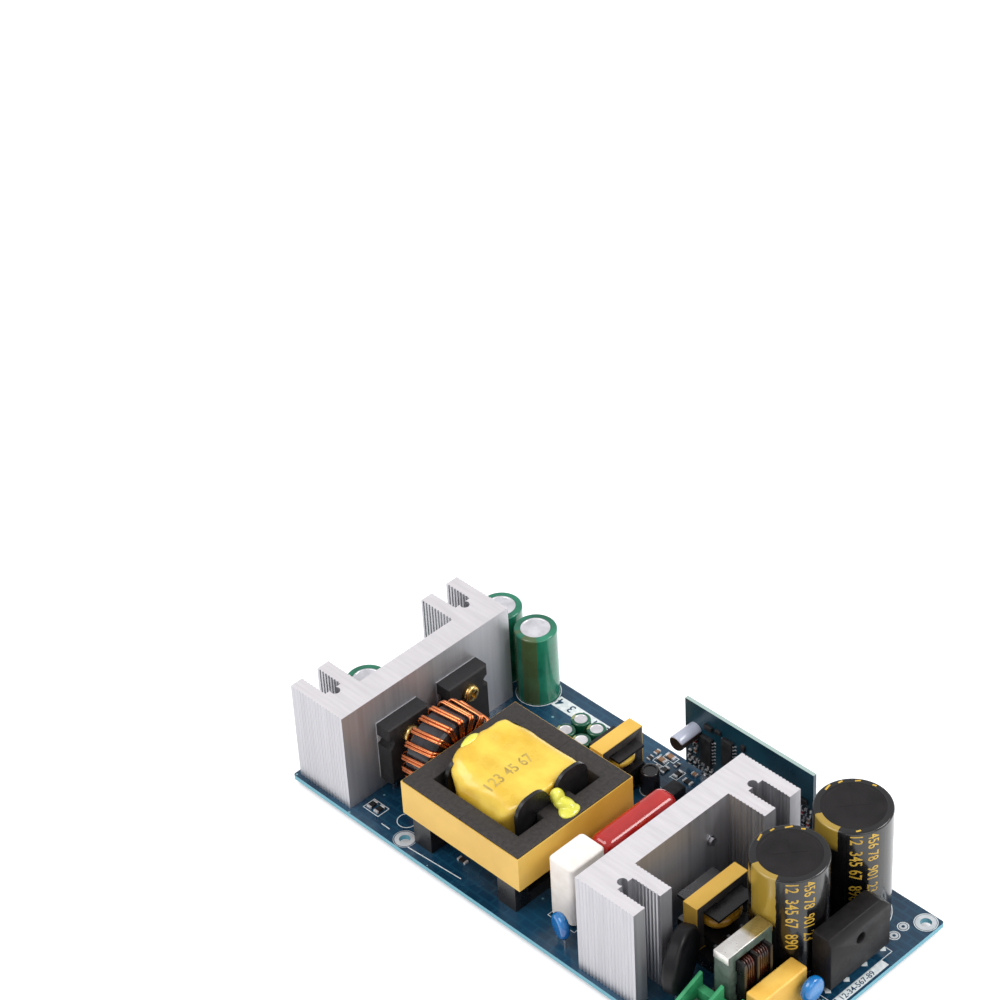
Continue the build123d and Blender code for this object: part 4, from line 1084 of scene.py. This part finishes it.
for row in range(10):
    for column in range(23):
        x = 84.0 + column * 2.05 + steps.uniform(-0.25, 0.25)
        z = 3.2 + row * 1.85 + steps.uniform(-0.2, 0.2)
        turn = steps.choice((0, 90))
        kind = steps.choice(("dark", "dark", "dark", "dark", "tan", "red"))
        free = all(abs(x - tx) > half_x + 0.9 or abs(z - tz) > half_z + 0.7 for tx, tz, half_x, half_z in taken)
        if free and steps.random() > 0.12 and (z < 17.5 or x < 101):
            add_chip(at(x, CONTROL_FACE, z) @ FACING_FRONT, turn, (1.7, 1.0, 0.6), kind)
chip_tones = {
    "dark": finish("chip_dark", (24, 22, 24), (44, 40, 42), 900, (0.35, 0.55)),
    "tan": finish("chip_tan", (120, 88, 62), (156, 118, 86), 900, (0.4, 0.6)),
    "grey": finish("chip_grey", (96, 94, 96), (136, 132, 130), 900, (0.4, 0.6)),
    "red": finish("chip_red", (122, 28, 22), (164, 44, 34), 900, (0.2, 0.4), coat=0.4),
}
for kind, made in blocks.items():
    keep(join(f"{kind}_chip_blocks", made), chip_tones[kind], "chip_black")

# %% Package legs
dull_solder = finish("dull_solder", (176, 176, 178), (222, 222, 224), 900, (0.3, 0.5), metallic=0.4)
for x, z, out, quarter, rows, pitch in (
    (9.0, 10.4, 1.95, 0, 7, 1.27), (17.0, 14.0, 1.95, 0, 7, 1.27), (24.4, 14.0, 1.95, 90, 4, 1.15),
):
    middle = at(CONTROL_X + x, CONTROL_FACE, CONTROL_FOOT + z) @ FACING_FRONT
    for number in range(rows):
        along = (number - (rows - 1) / 2) * pitch
        for side in (0, 180):
            ends.append(copy_to(leg, "leg", middle @ turned("Z", side + quarter) @ moved(out, along, 0.75)))
discard(chip_block, chip_end, leg)
keep(join("chip_ends_and_legs", ends), dull_solder, "tinned_lead")


# %% [markdown]
# ## Light, floor and camera
# A white table in soft light: a wide lamp high on the near left, a weaker one on the right, a third from
# the far right that lights the edges, and a pale world that fills the shadows. The floor keeps the soft
# shadow, and a glow that only the camera and mirrors see makes it pale. The camera looks down from the
# near right with a long lens, as the picture of the product does.

# %% Light
world = bpy.data.worlds.new("pale_room")
bpy.context.scene.world = world
world.use_nodes = True
room = world.node_tree.nodes["Background"]
room.inputs["Color"].default_value = (0.96, 0.97, 1.0, 1)
room.inputs["Strength"].default_value = 0.7
AIM = Vector((0, 0, 0.01))
for name, place, width, power in (
    ("high_left", (-0.25, -0.45, 0.75), 0.5, 3.5),
    ("right_fill", (0.7, -0.1, 0.5), 0.5, 1.5),
    ("far_right", (0.45, 0.5, 0.65), 0.4, 3.9),
):
    light = bpy.data.lights.new(name, "AREA")
    light.shape = "SQUARE"
    light.size = width
    light.energy = power
    lamp = stand(name, light)
    lamp.location = place
    lamp.rotation_euler = (AIM - Vector(place)).to_track_quat("-Z", "Y").to_euler()
print("lamps:", len(bpy.data.lights))

# %% Floor
bpy.ops.mesh.primitive_plane_add(size=6, location=(0, 0, 0))
floor = bpy.context.active_object
floor.name = "white_table"
table_white = bpy.data.materials.new("table_white")
table_white.use_nodes = True
tree = table_white.node_tree
FLOOR_GLOW = 0.3
rays = add_node(tree, "LightPath", {})
looked_at = compute(tree, "MAXIMUM", rays["Is Camera Ray"], rays["Is Glossy Ray"])
looked_at = compute(tree, "MAXIMUM", looked_at, rays["Is Transmission Ray"])
feed(tree, tree.nodes["Principled BSDF"].inputs, {
    "Base Color": (0.93, 0.93, 0.93, 1), "Roughness": 0.9, "Specular IOR Level": 0.0,
    "Emission Color": (1, 1, 1, 1), "Emission Strength": compute(tree, "MULTIPLY", looked_at, FLOOR_GLOW),
})
floor.data.materials.append(table_white)
print("floor:", floor.name)

# %% Camera
azimuth, elevation, roll = math.radians(47.64), math.radians(38.03), math.radians(-3.48)
level = math.cos(elevation)
back = Vector((math.sin(azimuth) * level, -math.cos(azimuth) * level, math.sin(elevation)))
level_right = Vector((math.cos(azimuth), math.sin(azimuth), 0))
level_up = back.cross(level_right)
right = level_right * math.cos(roll) + level_up * math.sin(roll)
up = level_up * math.cos(roll) - level_right * math.sin(roll)
eye = Vector((0.4737, -0.4654, 0.6491))
lens = bpy.data.cameras.new("bench_camera")
lens.sensor_width = 36.0
lens.lens = 116.96
lens.clip_end = 10.0
camera = stand("bench_camera", lens)
camera.matrix_world = Matrix.Translation(eye) @ Matrix((right, up, back)).transposed().to_4x4()
bpy.context.scene.camera = camera
bpy.context.scene.view_settings.view_transform = "Standard"
print("camera at", [round(v, 3) for v in eye])
